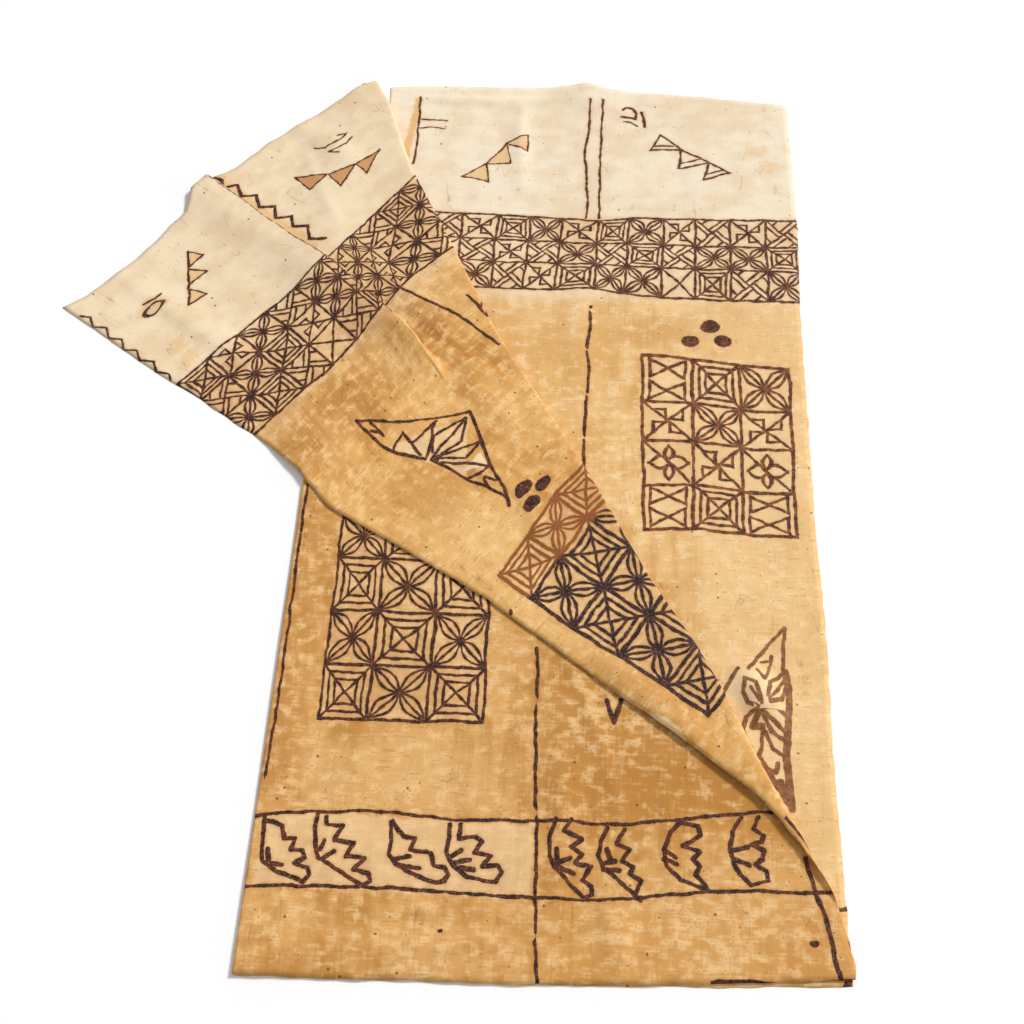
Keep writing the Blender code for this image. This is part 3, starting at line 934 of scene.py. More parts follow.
class Cell:
    """A painted square's own coordinates, from -1 to 1 each way, and its motifs' lines."""

    outer_ring: float = 0.72
    inner_ring: float = 0.44
    petal_reach: float = 1.30
    petal_bulge: float = 0.27
    bar_pitch: float = 0.30
    wheel_arm: float = 0.60
    wheel_gap: float = 0.08
    bow_middle: float = 0.48
    bow_slope: float = 1.9
    bow_line: float = 0.46
    bow_reach: float = 0.72
    leaf_shift: float = 0.10
    leaf_reach: float = 0.86
    leaf_bulge: float = 0.28
    leaf_line: float = 0.80
    leaf_end: float = 0.88
    stem_end: float = 1.2

    def __init__(self, box: Paintbox, u: Val, w: Val) -> None:
        """Take the two coordinates of a square."""
        self.box = box
        self.u = u
        self.w = w

    @cached_property
    def side_u(self) -> Val:
        """Distance from the middle across."""
        return abs(self.u)

    @cached_property
    def side_w(self) -> Val:
        """Distance from the middle along."""
        return abs(self.w)

    @cached_property
    def reach(self) -> Val:
        """How far out towards the square's border."""
        return self.side_u.greater(self.side_w)

    @cached_property
    def rising(self) -> Val:
        """Distance along the rising diagonal."""
        return (self.u + self.w) * math.sqrt(0.5)

    @cached_property
    def falling(self) -> Val:
        """Distance along the falling diagonal."""
        return (self.u - self.w) * math.sqrt(0.5)

    @cached_property
    def off_diagonal(self) -> Val:
        """Distance from the nearer diagonal."""
        return abs(self.side_u - self.side_w) * math.sqrt(0.5)

    @cached_property
    def turned(self) -> tuple[Val, Val]:
        """Coordinates turned into the first quarter, so that a motif repeats round the middle."""
        cross = (self.u * self.w) > 0.0
        first = self.side_w + (self.side_u - self.side_w) * cross
        second = self.side_u + (self.side_w - self.side_u) * cross
        return first, second

    def border(self) -> Val:
        """Distance from the square's border."""
        return abs(1.0 - self.reach)

    def squares(self) -> Val:
        """Squares inside each other, with both diagonals."""
        rings = abs(self.reach - self.outer_ring).lesser(abs(self.reach - self.inner_ring))
        return rings.lesser(self.off_diagonal)

    def bulge(self, out: Val, reach: float, height: float) -> Val:
        """Half width of a petal or leaf, from its foot at 0 to its tip at the reach."""
        return self.box.maths("SINE", out.lesser(reach) * (math.pi / reach)) * height

    def petals(self) -> Val:
        """Four petals on the diagonals, each with its midrib."""
        out = (self.side_u + self.side_w) * math.sqrt(0.5)
        outline = abs(self.off_diagonal - self.bulge(out, self.petal_reach, self.petal_bulge))
        return outline.lesser(self.off_diagonal)

    def hatch(self) -> Val:
        """Both diagonals, and bars beside them in all four quarters."""
        sideways = self.side_u > self.side_w
        lane = self.falling + (self.rising - self.falling) * sideways
        return (abs(lane) + self.bar_pitch).wave(self.bar_pitch).lesser(self.off_diagonal)

    def wheel(self) -> Val:
        """Both diagonals, with a small triangle on one side of each arm."""
        first, second = self.turned
        upright = abs(first - self.wheel_arm).greater(second - self.wheel_arm)
        level = abs(second - self.wheel_gap).greater(first - self.wheel_arm)
        return self.off_diagonal.lesser(upright).lesser(level)

    def cross(self) -> Val:
        """Both diagonals alone."""
        return self.off_diagonal

    def bows(self) -> Val:
        """Two bow ties, one over the other."""
        half = abs((self.side_w - self.bow_middle) * self.bow_slope)
        wings = (abs(half - self.side_u) * self.bow_line).greater(self.side_u - self.bow_reach)
        caps = abs(self.side_u - self.bow_reach).greater(half - self.bow_reach)
        return wings.lesser(caps)

    def sprig(self) -> Val:
        """Leaves on a slanting stem."""
        shifted = self.side_u + self.leaf_shift
        out, off = shifted.greater(self.side_w), shifted.lesser(self.side_w)
        outline = abs(off - self.bulge(out, self.leaf_reach, self.leaf_bulge)) * self.leaf_line
        stem = abs(self.rising).greater(self.falling - self.stem_end)
        return outline.greater(out - self.leaf_end).lesser(stem)

    def motif(self, motif: Motif) -> Val:
        """Distance from a motif's lines, in halves of the square."""
        makers = {
            Motif.SQUARES: self.squares,
            Motif.PETALS: self.petals,
            Motif.HATCH: self.hatch,
            Motif.WHEEL: self.wheel,
            Motif.CROSS: self.cross,
            Motif.BOWS: self.bows,
            Motif.SPRIG: self.sprig,
        }
        return makers[motif]()


@dataclass(frozen=True)
class Tiles:
    """A block or band of painted squares, each with the motif that its chart gives."""

    columns: tuple[float, ...]
    rows: tuple[float, ...]
    top: Table
    foot: Table
    chart: tuple[str, ...]
    width: float
    border_width: float

    def count(self, value: Val, marks: tuple[float, ...]) -> Val:
        """How many squares a place is past the first mark, with its fraction.

        Args:
            value: The place.
            marks: The squares' borders in order.

        Returns:
            0 at the first mark, 1 at the second and so on, carried a little past both ends.
        """
        last = len(marks) - 1
        stops = tuple((mark, index / last) for index, mark in enumerate(marks))
        inside = value.looked_up(stops, marks[0], marks[-1]) * float(last)
        before = (value - marks[0]).lesser(0.0) * (1.0 / (marks[1] - marks[0]))
        after = (value - marks[-1]).greater(0.0) * (1.0 / (marks[-1] - marks[-2]))
        return inside + before + after

    def line(self, at: Place) -> Val:
        """Signed distance from the block's lines, below 0 inside them."""
        across = self.count(at.x, self.columns)
        top, foot = at.x.course(self.top), at.x.course(self.foot)
        along = self.count((at.y - foot) / (top - foot), self.rows)
        column, row = across.floor(), along.floor()
        cell = Cell(at.box, (across - column) * 2.0 - 1.0, (along - row) * 2.0 - 1.0)
        columns, rows = len(self.columns) - 1, len(self.rows) - 1
        motifs = [motif for motif in Motif if any(motif.value in letters for letters in self.chart)]
        numbers = {motif.value: float(number) for number, motif in enumerate(Motif)}
        charted = []
        for index, letters in enumerate(reversed(self.chart)):
            stops = tuple((place, numbers[letter] / MOTIF_STEPS) for place, letter in enumerate(letters))
            found = (column + 0.5).looked_up(stops, 0.0, float(columns), stepped=True)
            charted.append(found * at.box.maths("COMPARE", row, float(index), 0.5))
        number = reduce(add, charted) * MOTIF_STEPS
        shown = [cell.motif(m) * at.box.maths("COMPARE", number, numbers[m.value], 0.5) for m in motifs]
        half = 0.25 * ((self.columns[-1] - self.columns[0]) / columns
                       + (self.top[0][1] - self.foot[0][1]) / rows)
        lines = reduce(add, shown) * half - 0.5 * self.width
        borders = cell.border() * half - 0.5 * self.border_width
        outside = across.outside(0.0, columns).greater(along.outside(0.0, rows))
        return lines.lesser(borders).greater(outside * (2.0 * half) - 0.5 * self.border_width)

    def fill(self, at: Place) -> Val:
        """Signed distance from the whole block, below 0 inside it."""
        top, foot = at.x.course(self.top), at.x.course(self.foot)
        beside = at.x.outside(self.columns[0], self.columns[-1])
        return beside.greater(at.y - top).greater(foot - at.y)


@dataclass(frozen=True)
class Leaf:
    """A leaf shape: one smooth side, one toothed side and a few short strokes inside."""

    arc: Table
    teeth: Table
    veins: tuple[Table, ...]
    width: float = 0.0072

    def line(self, at: Place) -> Val:
        """Signed distance from the leaf's lines, below 0 inside them."""
        sides = [Stroke(self.arc, self.width).line(at), Stroke(self.teeth, self.width).line(at)]
        return union(sides + [Stroke(vein, self.width * 1.1).line(at) for vein in self.veins])


Mark = Stroke | Course | Wave | Pennant | Oval | Tiles | Leaf


def path(*places: float) -> Table:
    """Points from their x and y in turn, in millimetres."""
    metres = [place / 1000.0 for place in places]
    return tuple(zip(metres[::2], metres[1::2]))


def stroke(width: float, *places: float) -> Stroke:
    """A painted line from its width and the x and y of its points in turn, in millimetres."""
    return Stroke(path(*places), width / 1000.0)


def pennant(width: float, *places: float) -> Pennant:
    """A painted triangle from its line's width and its corners' x and y in turn, in millimetres."""
    return Pennant(path(*places), width / 1000.0)


class Side(Enum):
    """The two faces of the cloth."""

    FRONT = 0
    REVERSE = 1


@dataclass(frozen=True)
class Ink:
    """The paint of the lines: where it is thick, where it is thin, and the stain beside it."""

    thick: Colour
    thin: Colour
    halo: Colour
    halo_share: float
    faded: Colour | None = None
    faded_above: float = 0.0


@dataclass(frozen=True)
class Wash:
    """A shape filled with thin dye, painted shade or a painted highlight, its edge sharp or soft."""

    shape: Pennant | Tiles | Oval | Patch
    colour: Colour
    share: float = 0.85
    soft: float = 0.0015


@dataclass(frozen=True)
class Ground:
    """The beaten bark: undyed colour, dyed colours and how much dye it has along the cloth."""

    cream: Colour
    cream_shade: Colour
    dyed: Colour
    dyed_deep: Colour
    dyed_pale: Colour
    speck: Colour
    # v, share of dye
    dye: Table
    lean_from: float = 0.0
    lean: float = 0.0
    # washes of deeper or paler dye; a few are painted shade, beside the pleat and under the flap's edge
    tones: tuple[Wash, ...] = ()


# least x, most x, least y and most y on the open cloth
Area = tuple[float, float, float, float]
Marks = tuple[Mark, ...]
Washes = tuple[Wash, ...]


@dataclass(frozen=True)
class Region:
    """A stretch of one face of the cloth with what is painted there."""

    name: str
    side: Side
    area: Area
    ground: Ground
    ink: Ink
    marks: Marks
    washes: Washes


class Painting:
    """Makes the material of one region."""

    # waves a metre and how far they move a line
    hand: Table = ((13.0, 0.0040), (55.0, 0.0016))
    edge: float = 0.0007
    press_depth: float = 0.0022
    grain_depth: float = 0.0012
    halo_reach: float = 0.0060
    fading: float = 0.004
    roughness: float = 0.88
    paint_gloss: float = 0.22
    bump: float = 0.55
    rib_height: float = 0.0009
    shine: float = 0.25
    sheen: float = 0.02
    dye_wander: float = 0.012
    mottling: float = 0.85

    def __init__(self, region: Region) -> None:
        """Start the region's nodes."""
        self.region = region
        self.box = Paintbox(region.name)
        flat = self.box.add("ShaderNodeUVMap", {"uv_map": FLAT_MAP}, {}).outputs[0]
        if region.side is Side.REVERSE:
            flat = self.box.vector("MULTIPLY", flat, (-1.0, 1.0, 1.0))
        self.flat = flat
        self.place = Place(self.box, flat)

    def hand_drawn(self) -> Place:
        """The place, moved about a little so that lines look drawn by hand."""
        moved = self.flat
        for waves, amount in self.hand:
            settings = {"noise_dimensions": "2D"}
            inputs = {"Vector": self.flat, "Scale": waves, "Detail": 1.0}
            wander = self.box.add("ShaderNodeTexNoise", settings, inputs).outputs[1]
            centred = self.box.vector("SUBTRACT", wander, (0.5, 0.5, 0.5))
            moved = self.box.vector("MULTIPLY_ADD", centred, (2.0 * amount, 2.0 * amount, 0.0), moved)
        return Place(self.box, moved)

    def bark(self) -> tuple[bpy.types.NodeSocket, Val]:
        """Colour and relief of the bare bark, with its tones, a few of which are painted shade.

        Returns:
            The colour, and a height from 0 to 1 for the bump.
        """
        box, ground = self.box, self.region.ground
        # waves a metre across and along the cloth, octaves
        patches = box.noise(self.flat, (5.0, 5.5), 3.0)
        smears = box.noise(self.flat, (21.0, 30.0), 4.0)
        streaks = box.noise(self.flat, (46.0, 5.0), 2.0)
        ribs = box.noise(self.flat, (24.0, 190.0), 1.0)
        fibres = box.noise(self.flat, (210.0, 22.0), 2.0)
        blots = box.noise(self.flat, (44.0, 56.0), 5.0)
        specks = box.noise(self.flat, (110.0, 110.0), 0.0)
        cracks = box.noise(self.flat, (26.0, 5.0), 1.0)
        height = ribs * 0.55 + fibres * 0.45

        lean = (self.place.x * -1.0 - ground.lean_from).greater(0.0) * ground.lean
        along = self.place.y - lean + (smears - 0.5) * self.dye_wander
        dye = along.looked_up(ground.dye, ground.dye[0][0], ground.dye[-1][0])

        deep = (patches * 0.45 + smears * 0.25 + streaks * 0.30).eased(0.42, 0.62)
        pale = (blots * 0.8 + ribs * 0.42 + fibres * 0.34 - patches * 0.30).eased(0.56, 0.86)
        dyed = box.mix(deep * self.mottling, ground.dyed, ground.dyed_deep)
        # the ground's tones: dye, and a few patches of painted shade
        for tone in ground.tones:
            reach = tone.shape.fill(self.place) + (blots - 0.5) * tone.soft
            share = reach.eased(-0.5 * tone.soft, 0.5 * tone.soft, tone.share, 0.0)
            dyed = box.mix(share, dyed, tone.colour)
        dyed = box.mix(pale * self.mottling, dyed, ground.dyed_pale)
        weave = (ribs * 0.6 + fibres * 0.4).eased(0.53, 0.70, 0.0, 0.60)
        dyed = box.mix(weave, dyed, ground.dyed_deep)
        cream = box.mix((smears * 0.5 + patches * 0.5).eased(0.38, 0.66), ground.cream,
                        ground.cream_shade)
        cream = box.mix((blots * 0.6 + fibres * 0.4).eased(0.56, 0.72, 0.0, 0.5), cream,
                        ground.cream_shade)
        colour = box.mix(dye, cream, dyed)
        crack = abs(cracks - 0.5).eased(0.0, 0.008, 0.35, 0.0) * smears.eased(0.48, 0.60)
        colour = box.mix(crack, colour, ground.speck)
        return box.mix(specks.eased(0.895, 0.915, 0.0, 0.8), colour, ground.speck), height

    def material(self) -> bpy.types.Material:
        """Paint the region.

        Returns:
            Its material.
        """
        box, region = self.box, self.region
        ink = region.ink
        colour, height = self.bark()
        drawn = self.hand_drawn()
        press = box.noise(self.flat, (70.0, 70.0), 2.0)
        grain = box.noise(self.flat, (260.0, 420.0), 1.0)
        # the region's washes: dye, stains and pale ground, with a painted highlight and a strip of painted
        # shade among them
        for wash in region.washes:
            edge = wash.shape.fill(drawn) + (press - 0.5) * (1.5 * wash.soft)
            share = edge.eased(-0.5 * wash.soft, 0.5 * wash.soft, wash.share, 0.0)
            colour = box.mix(share, colour, wash.colour)
        lines = union([mark.line(drawn) for mark in region.marks])
        lines = lines + (0.5 - press) * self.press_depth + (grain - 0.5) * self.grain_depth
        halo = lines.eased(0.0, self.halo_reach, ink.halo_share, 0.0)
        colour = box.mix(halo * press.eased(0.3, 0.6), colour, ink.halo)
        paint = box.mix(press.eased(0.35, 0.65), ink.thin, ink.thick)
        if ink.faded:
            fading = drawn.y.eased(ink.faded_above - self.fading, ink.faded_above + self.fading)
            paint = box.mix(fading, paint, ink.faded)
        cover = lines.eased(-self.edge, self.edge, 1.0, 0.0) * grain.eased(0.25, 0.45, 0.75, 1.0)
        colour = box.mix(cover, colour, paint)
        roughness = self.roughness - cover * self.paint_gloss
        bump_inputs = {"Strength": self.bump, "Distance": self.rib_height, "Height": height}
        normal = box.add("ShaderNodeBump", {}, bump_inputs).outputs[0]
        inputs = {"Base Color": colour, "Roughness": roughness, "Normal": normal,
                  "Specular IOR Level": self.shine, "Sheen Weight": self.sheen}
        shader = box.add("ShaderNodeBsdfPrincipled", {}, inputs)
        box.add("ShaderNodeOutputMaterial", {}, {0: shader.outputs[0]})
        return box.material


FLOOR_GROUND = Ground(
    cream=linear(243, 227, 200),
    cream_shade=linear(234, 211, 178),
    dyed=linear(237, 194, 132),
    dyed_deep=linear(210, 156, 84),
    dyed_pale=linear(246, 214, 164),
    speck=linear(150, 92, 50),
    dye=((0.20, 1.0), (0.35, 0.92), (0.375, 0.55), (0.558, 0.45), (0.572, 0.03), (0.70, 0.0)),
    tones=(
        Wash(Patch(0.70, 1.00, -0.80, 0.36), linear(236, 196, 138), 0.70, 0.16),
        Wash(Patch(0.30, 0.56, -0.20, 0.36), linear(226, 176, 108), 0.50, 0.12),
    ),
)
FLAP_GROUND = Ground(
    cream=linear(241, 220, 186),
    cream_shade=linear(231, 204, 166),
    dyed=linear(224, 170, 98),
    dyed_deep=linear(190, 130, 58),
    dyed_pale=linear(246, 204, 142),
    speck=linear(120, 66, 40),
    dye=((0.30, 1.0), (0.44, 0.95), (0.485, 0.66), (0.640, 0.55), (0.656, 0.05), (0.75, 0.0)),
    lean_from=0.60,
    lean=0.075,
    tones=(
        Wash(Oval(-0.755, 0.405, 0.120, 0.050, 0.0), linear(184, 122, 52), 0.40, 0.050),
        # the next two darker ovals beside the pleat's lower end are painted shade of its trough, partly
        # darker dye
        Wash(Oval(-0.435, 0.42, 0.040, 0.080, 0.0), linear(166, 106, 42), 0.60, 0.030),
        Wash(Oval(-0.420, 0.30, 0.032, 0.090, 0.0), linear(176, 114, 46), 0.45, 0.030),
        Wash(Oval(-0.74, -0.10, 0.090, 0.260, 0.0), linear(238, 194, 128), 0.50, 0.080),
    ),
)
REVERSE_GROUND = Ground(
    cream=linear(235, 205, 158),
    cream_shade=linear(226, 190, 136),
    dyed=linear(216, 163, 96),
    dyed_deep=linear(186, 128, 58),
    dyed_pale=linear(238, 196, 138),
    speck=linear(110, 64, 36),
    dye=((-1.0, 1.0), (1.1, 1.0)),
    tones=(
        # this first patch, darker brown right of the centre line, is partly dye and partly painted shadow
        # under the flap's edge
        Wash(Patch(0.435, 0.86, -0.665, -0.35), linear(184, 126, 56), 0.75, 0.10),
        Wash(Patch(0.44, 0.90, -0.95, -0.80), linear(206, 148, 78), 0.60, 0.08),
        Wash(Oval(0.24, -0.60, 0.150, 0.050, 0.0), linear(228, 182, 118), 0.45, 0.060),
        Wash(Patch(-0.05, 0.055, -0.66, 0.10), linear(194, 136, 66), 0.75, 0.05),
    ),
)
FLOOR_INK = Ink(linear(58, 26, 16), linear(108, 56, 28), linear(206, 142, 78), 0.35)
FLAP_INK = Ink(linear(44, 18, 18), linear(92, 44, 26), linear(196, 132, 72), 0.35)
BLOCK_INK = Ink(linear(36, 20, 26), linear(74, 38, 34), linear(176, 112, 58), 0.40, linear(142, 80, 34),
                -0.098)
REVERSE_INK = Ink(linear(44, 18, 14), linear(90, 42, 24), linear(180, 116, 54), 0.35)
FLOOR_BLOCK_INK = Ink(linear(74, 36, 20), linear(132, 72, 36), linear(200, 142, 84), 0.30)
BRUSHED_INK = Ink(linear(122, 74, 42), linear(148, 96, 56), linear(214, 160, 96), 0.20)

PALE_FILL = linear(232, 190, 134)
DEEP_FILL = linear(196, 136, 68)
# ochre stains; on the zigzag beside the flap's pleat the same colour is painted shade
STAIN_AND_PAINTED_SHADE = linear(226, 172, 98)
LIGHT_GROUND = linear(240, 206, 158)

# what is painted: x runs across the open cloth from the long fold, y along it
FLOOR_BUNTING = (
    pennant(3.6, 251, 667, 292, 702, 302, 652),
    pennant(3.6, 292, 702, 327, 757, 338, 704),
    pennant(3.6, 327, 757, 366, 778, 369, 733),
)
FLOOR_LEFT_MARKS = (
    Course(path(698, 149, 745, 145, 790, 139, 830, 134, 872, 127), 0.0050),
    stroke(3.4, 142, 814, 196, 812),
    stroke(3.4, 142, 791, 165, 794, 196, 791),
)
FLOOR_DOUBLE_LINE = (
    Course(path(565, 491, 610, 489, 660, 485, 740, 479, 800, 480, 880, 481), 0.0050),
    Course(path(565, 514, 640, 511, 700, 509, 760, 508, 800, 505, 880, 506), 0.0048),
)
FLOOR_RIGHT_MARKS = (
    stroke(5.4, 545, 838, 575, 833, 575, 850, 568, 861, 555, 864, 549, 857),
    stroke(5.6, 585, 852, 590, 836, 592, 812),
    stroke(4, 550, 825, 565, 822, 578, 812),
    pennant(4.8, 625, 788, 668, 752, 606, 747),
    pennant(4.8, 665, 752, 722, 718, 661, 699),
    pennant(4.8, 722, 718, 763, 692, 711, 671),
    stroke(3.6, 610, 757, 652, 760),
    stroke(3.6, 663, 714, 705, 727),
    stroke(3.6, 713, 686, 748, 698),
)
FLOOR_BAND = Tiles(
    columns=(0.195, 0.262, 0.330, 0.390, 0.447, 0.515, 0.570, 0.635, 0.695, 0.760, 0.830, 0.895),
    rows=(0.0, 0.36, 0.66, 1.0),
    top=path(195, 572, 350, 567, 450, 561, 500, 557, 600, 566, 720, 565, 895, 571),
    foot=path(195, 392, 300, 389, 520, 388, 640, 371, 780, 366, 895, 368),
    chart=("HWSPWSPWHWH", "XHWHPHSHPPS", "SPHWSPPXSHP"),
    width=0.0044,
    border_width=0.0050,
)
FLAP_INNER_BUNTING = (
    pennant(3.6, -328, 855, -282, 803, -332, 806),
    pennant(3.6, -281, 801, -225, 774, -283, 757),
    pennant(3.6, -224, 773, -166, 762, -222, 738),
)
FLAP_OUTER_BUNTING = (
    pennant(4, -763, 790, -735, 815, -720, 785),
    pennant(4, -728, 825, -700, 853, -682, 822),
    pennant(4, -697, 857, -670, 884, -655, 856),
)
ZIGZAG = Course(path(668, -418, 690, -406, 718, -426, 744, -405, 768, -425, 788, -404, 810, -429,
                     834, -409, 858, -431, 884, -413, 905, -436, 930, -419, 948, -441, 966, -430,
                     985, -437), 0.0072, slant=0.78)
FLAP_OUTER_MARKS = (
    Wave(-0.912, 0.683, 0.93, 0.021, 0.013, 0.0046),
    stroke(4.6, -763, 790, -670, 886),
    Oval(-0.811, 0.835, 0.022, 0.010, -6.0, 0.0044),
    stroke(4.2, -816, 858, -795, 850, -777, 851),
)
FLAP_INNER_MARKS = (
    stroke(3.8, -252, 877, -238, 857, -205, 847, -180, 849, -198, 859),
    stroke(3.4, -228, 822, -241, 842, -218, 832, -200, 830, -180, 834),
)
FLAP_BAND = Tiles(
    columns=(-0.905, -0.830, -0.755, -0.680, -0.605, -0.530, -0.470, -0.405, -0.367, -0.290, -0.217,
             -0.145, -0.07),
    rows=(0.0, 0.355, 0.68, 1.0),
    top=path(-905, 676, -830, 675, -750, 669, -660, 662, -580, 655, -70, 652),
    foot=path(-905, 490, -800, 483, -700, 474, -600, 479, -500, 488, -360, 492, -280, 478, -200, 470,
              -70, 470),
    chart=("SWPHPHWPHSPW", "HPSWPHPWWPHS", "PSHXHSPWPHSP"),
    width=0.0046,
    border_width=0.0052,
)
FLAP_BLOCK = Tiles(
    columns=(-0.775, -0.681, -0.589, -0.500, -0.410),
    rows=(0.0, 0.197, 0.412, 0.622, 0.836, 1.0),
    top=path(-775, -36, -700, -30, -600, -16, -410, -18),
    foot=path(-775, -450, -410, -450),
    chart=("SPSP", "PSPS", "SPSP", "PSPS", "SPSP"),
    width=0.0058,
    border_width=0.0072,
)
FLAP_TRIANGLE_MARKS = (
    stroke(7.2, -718, 360, -714, 320, -703, 280, -698, 255, -674, 210),
    stroke(6.6, -668, 198, -661, 150, -658, 120, -649, 90, -647, 48),
    stroke(5.6, -718, 360, -690, 336, -635, 287, -590, 250, -538, 210),
    stroke(7.4, -538, 208, -560, 175, -585, 140, -612, 105, -632, 65, -656, 36),
    stroke(6.4, -708, 326, -693, 310, -691, 302, -697, 336),
    stroke(5.4, -698, 264, -685, 271, -655, 276),
    stroke(7.2, -655, 276, -672, 222),
    stroke(5.4, -662, 248, -635, 244, -592, 243),
    stroke(5.8, -592, 243, -612, 238, -632, 223, -668, 211),
    stroke(5.2, -655, 208, -622, 226, -600, 222, -552, 208, -600, 203, -668, 202),
    stroke(5.6, -660, 196, -620, 186, -598, 182, -553, 206),
    stroke(5.4, -655, 194, -620, 176, -574, 156, -625, 153, -640, 172, -658, 194),
    stroke(6, -664, 185, -636, 148, -609, 109),
    stroke(5.4, -656, 126, -635, 116, -612, 113),
    stroke(6, -648, 90, -640, 104, -634, 106, -629, 85),
    Oval(-0.660, 0.194, 0.010, 0.006, 20.0),
)
FLAP_TRIANGLE_WASHES = (
    Wash(Pennant(path(-700, 278, -548, 205, -655, 130)), LIGHT_GROUND, 0.7, 0.004),
    Wash(Pennant(path(-648, 140, -596, 142, -612, 112)), linear(246, 222, 182), 0.8, 0.004),
)
FLAP_LINE_MARKS = (
    Course(path(260, -379, 285, -375, 330, -372, 380, -376, 430, -387, 500, -399), 0.0064),
    stroke(5.4, -328, 376, -338, 312, -283, 366),
    stroke(4, -330, 362, -330, 336, -305, 356),
)
# painted shade: a thin dark line along the pleat's folded edge, where its panels meet
PLEAT_SHADE_LINE = Course(path(460, -513, 520, -512, 600, -513.5, 700, -512.2, 840, -513.2, 985, -512.5),
                    0.0022)
FLAP_OVALS = (
    Oval(-0.613, 0.036, 0.0225, 0.0115, 3.0),
    Oval(-0.583, 0.015, 0.0195, 0.0105, 0.0),
    Oval(-0.627, 0.007, 0.0195, 0.0120, -4.0),
)
FLAP_FIELD_MARKS = (
    Course(path(200, -867, 250, -871, 350, -883, 440, -890, 500, -894), 0.0044),
    Course(path(-800, -880, -710, -850, -645, -834), 0.0056),
    Oval(-0.816, -0.095, 0.006, 0.004, 30.0),
)
FLOOR_FIELD_MARKS = (
    Course(path(-100, 500, 50, 505, 120, 508, 200, 512, 280, 511, 375, 517), 0.0058, dashes=0.05),
    stroke(7, 872, -792, 912, -784),
    stroke(12, 884, -850, 912, -834),
    stroke(11, 892, -905, 912, -862),
    Oval(0.723, 0.303, 0.018, 0.0145, 10.0),
    Oval(0.686, 0.270, 0.016, 0.0135, 0.0),
    Oval(0.744, 0.270, 0.016, 0.0130, -20.0),
)
FLOOR_BLOCK = Tiles(
    columns=(0.605, 0.690, 0.773, 0.860),
    rows=(0.0, 0.240, 0.495, 0.725, 1.0),
    top=path(605, 236, 700, 226, 773, 216, 860, 208),
    foot=path(605, -137, 700, -133, 750, -139, 790, -146, 860, -146),
    chart=("BSP", "WPW", "LWL", "BSB"),
    width=0.0058,
    border_width=0.0066,
)
FLOOR_TRIANGLE_SIDE = stroke(12, 823, -405, 828, -450, 824, -545, 825, -590, 829, -632)
FLOOR_TRIANGLE_MARKS = (
    FLOOR_TRIANGLE_SIDE,
    stroke(7, 826, -322, 795, -360, 762, -400),
    stroke(7, 745, -400, 728, -430, 710, -468),
    stroke(6.6, 827, -322, 824, -360, 819, -400),
    stroke(6.4, 776, -402, 788, -420, 800, -392, 803, -376),
    stroke(5, 784, -388, 796, -386),
    stroke(7, 782, -464, 772, -428, 754, -420, 752, -444, 760, -462, 776, -468),
    stroke(5.8, 778, -460, 764, -438),
    stroke(7.6, 792, -452, 797, -425, 820, -408),
    stroke(6, 794, -458, 808, -440, 822, -415),
    stroke(7.6, 796, -462, 814, -456, 824, -432),
)
FLOOR_TRIANGLE_FOOT_MARKS = (
    FLOOR_TRIANGLE_SIDE,
    stroke(8, 776, -470, 757, -484, 752, -505, 766, -535),
    stroke(11, 778, -474, 768, -500, 784, -500),
    stroke(7.6, 782, -470, 808, -470, 824, -484),
    stroke(7.6, 784, -476, 805, -494, 824, -508),
    stroke(7, 784, -482, 800, -508, 824, -522),
    stroke(7, 786, -504, 784, -530, 778, -548, 792, -572),
    stroke(7, 790, -508, 802, -534, 822, -546),
    stroke(9, 794, -570, 806, -574, 810, -560),
    stroke(11, 786, -562, 804, -592, 826, -625),
    stroke(13, 812, -590, 822, -618),
)
REVERSE_BLOCK = Tiles(
    columns=(0.080, 0.157, 0.252, 0.342),
    rows=(0.0, 0.253, 0.513, 0.778, 1.0),
    top=path(80, -142, 342, -142),
    foot=path(80, -523, 200, -520, 342, -516),
    chart=("PSP", "SPS", "PSP", "SPS"),
    width=0.0050,
    border_width=0.0058,
)
LEAF_TOP = Course(path(5, -688, 30, -683, 100, -677, 200, -672, 320, -678, 430, -675, 520, -674,
                       580, -672, 640, -662, 700, -653, 760, -645, 800, -642), 0.0058, along_x=True)
LEAF_FOOT = Course(path(5, -798, 150, -790, 300, -791, 450, -794, 550, -790, 600, -785, 700, -772,
                        780, -766, 880, -762), 0.0060, along_x=True)
REVERSE_CENTRE = Course(path(-925, 446, -850, 441, -790, 437, -700, 434, -640, 429, -550, 425, -380, 422),
                        0.0056, dashes=0.09)
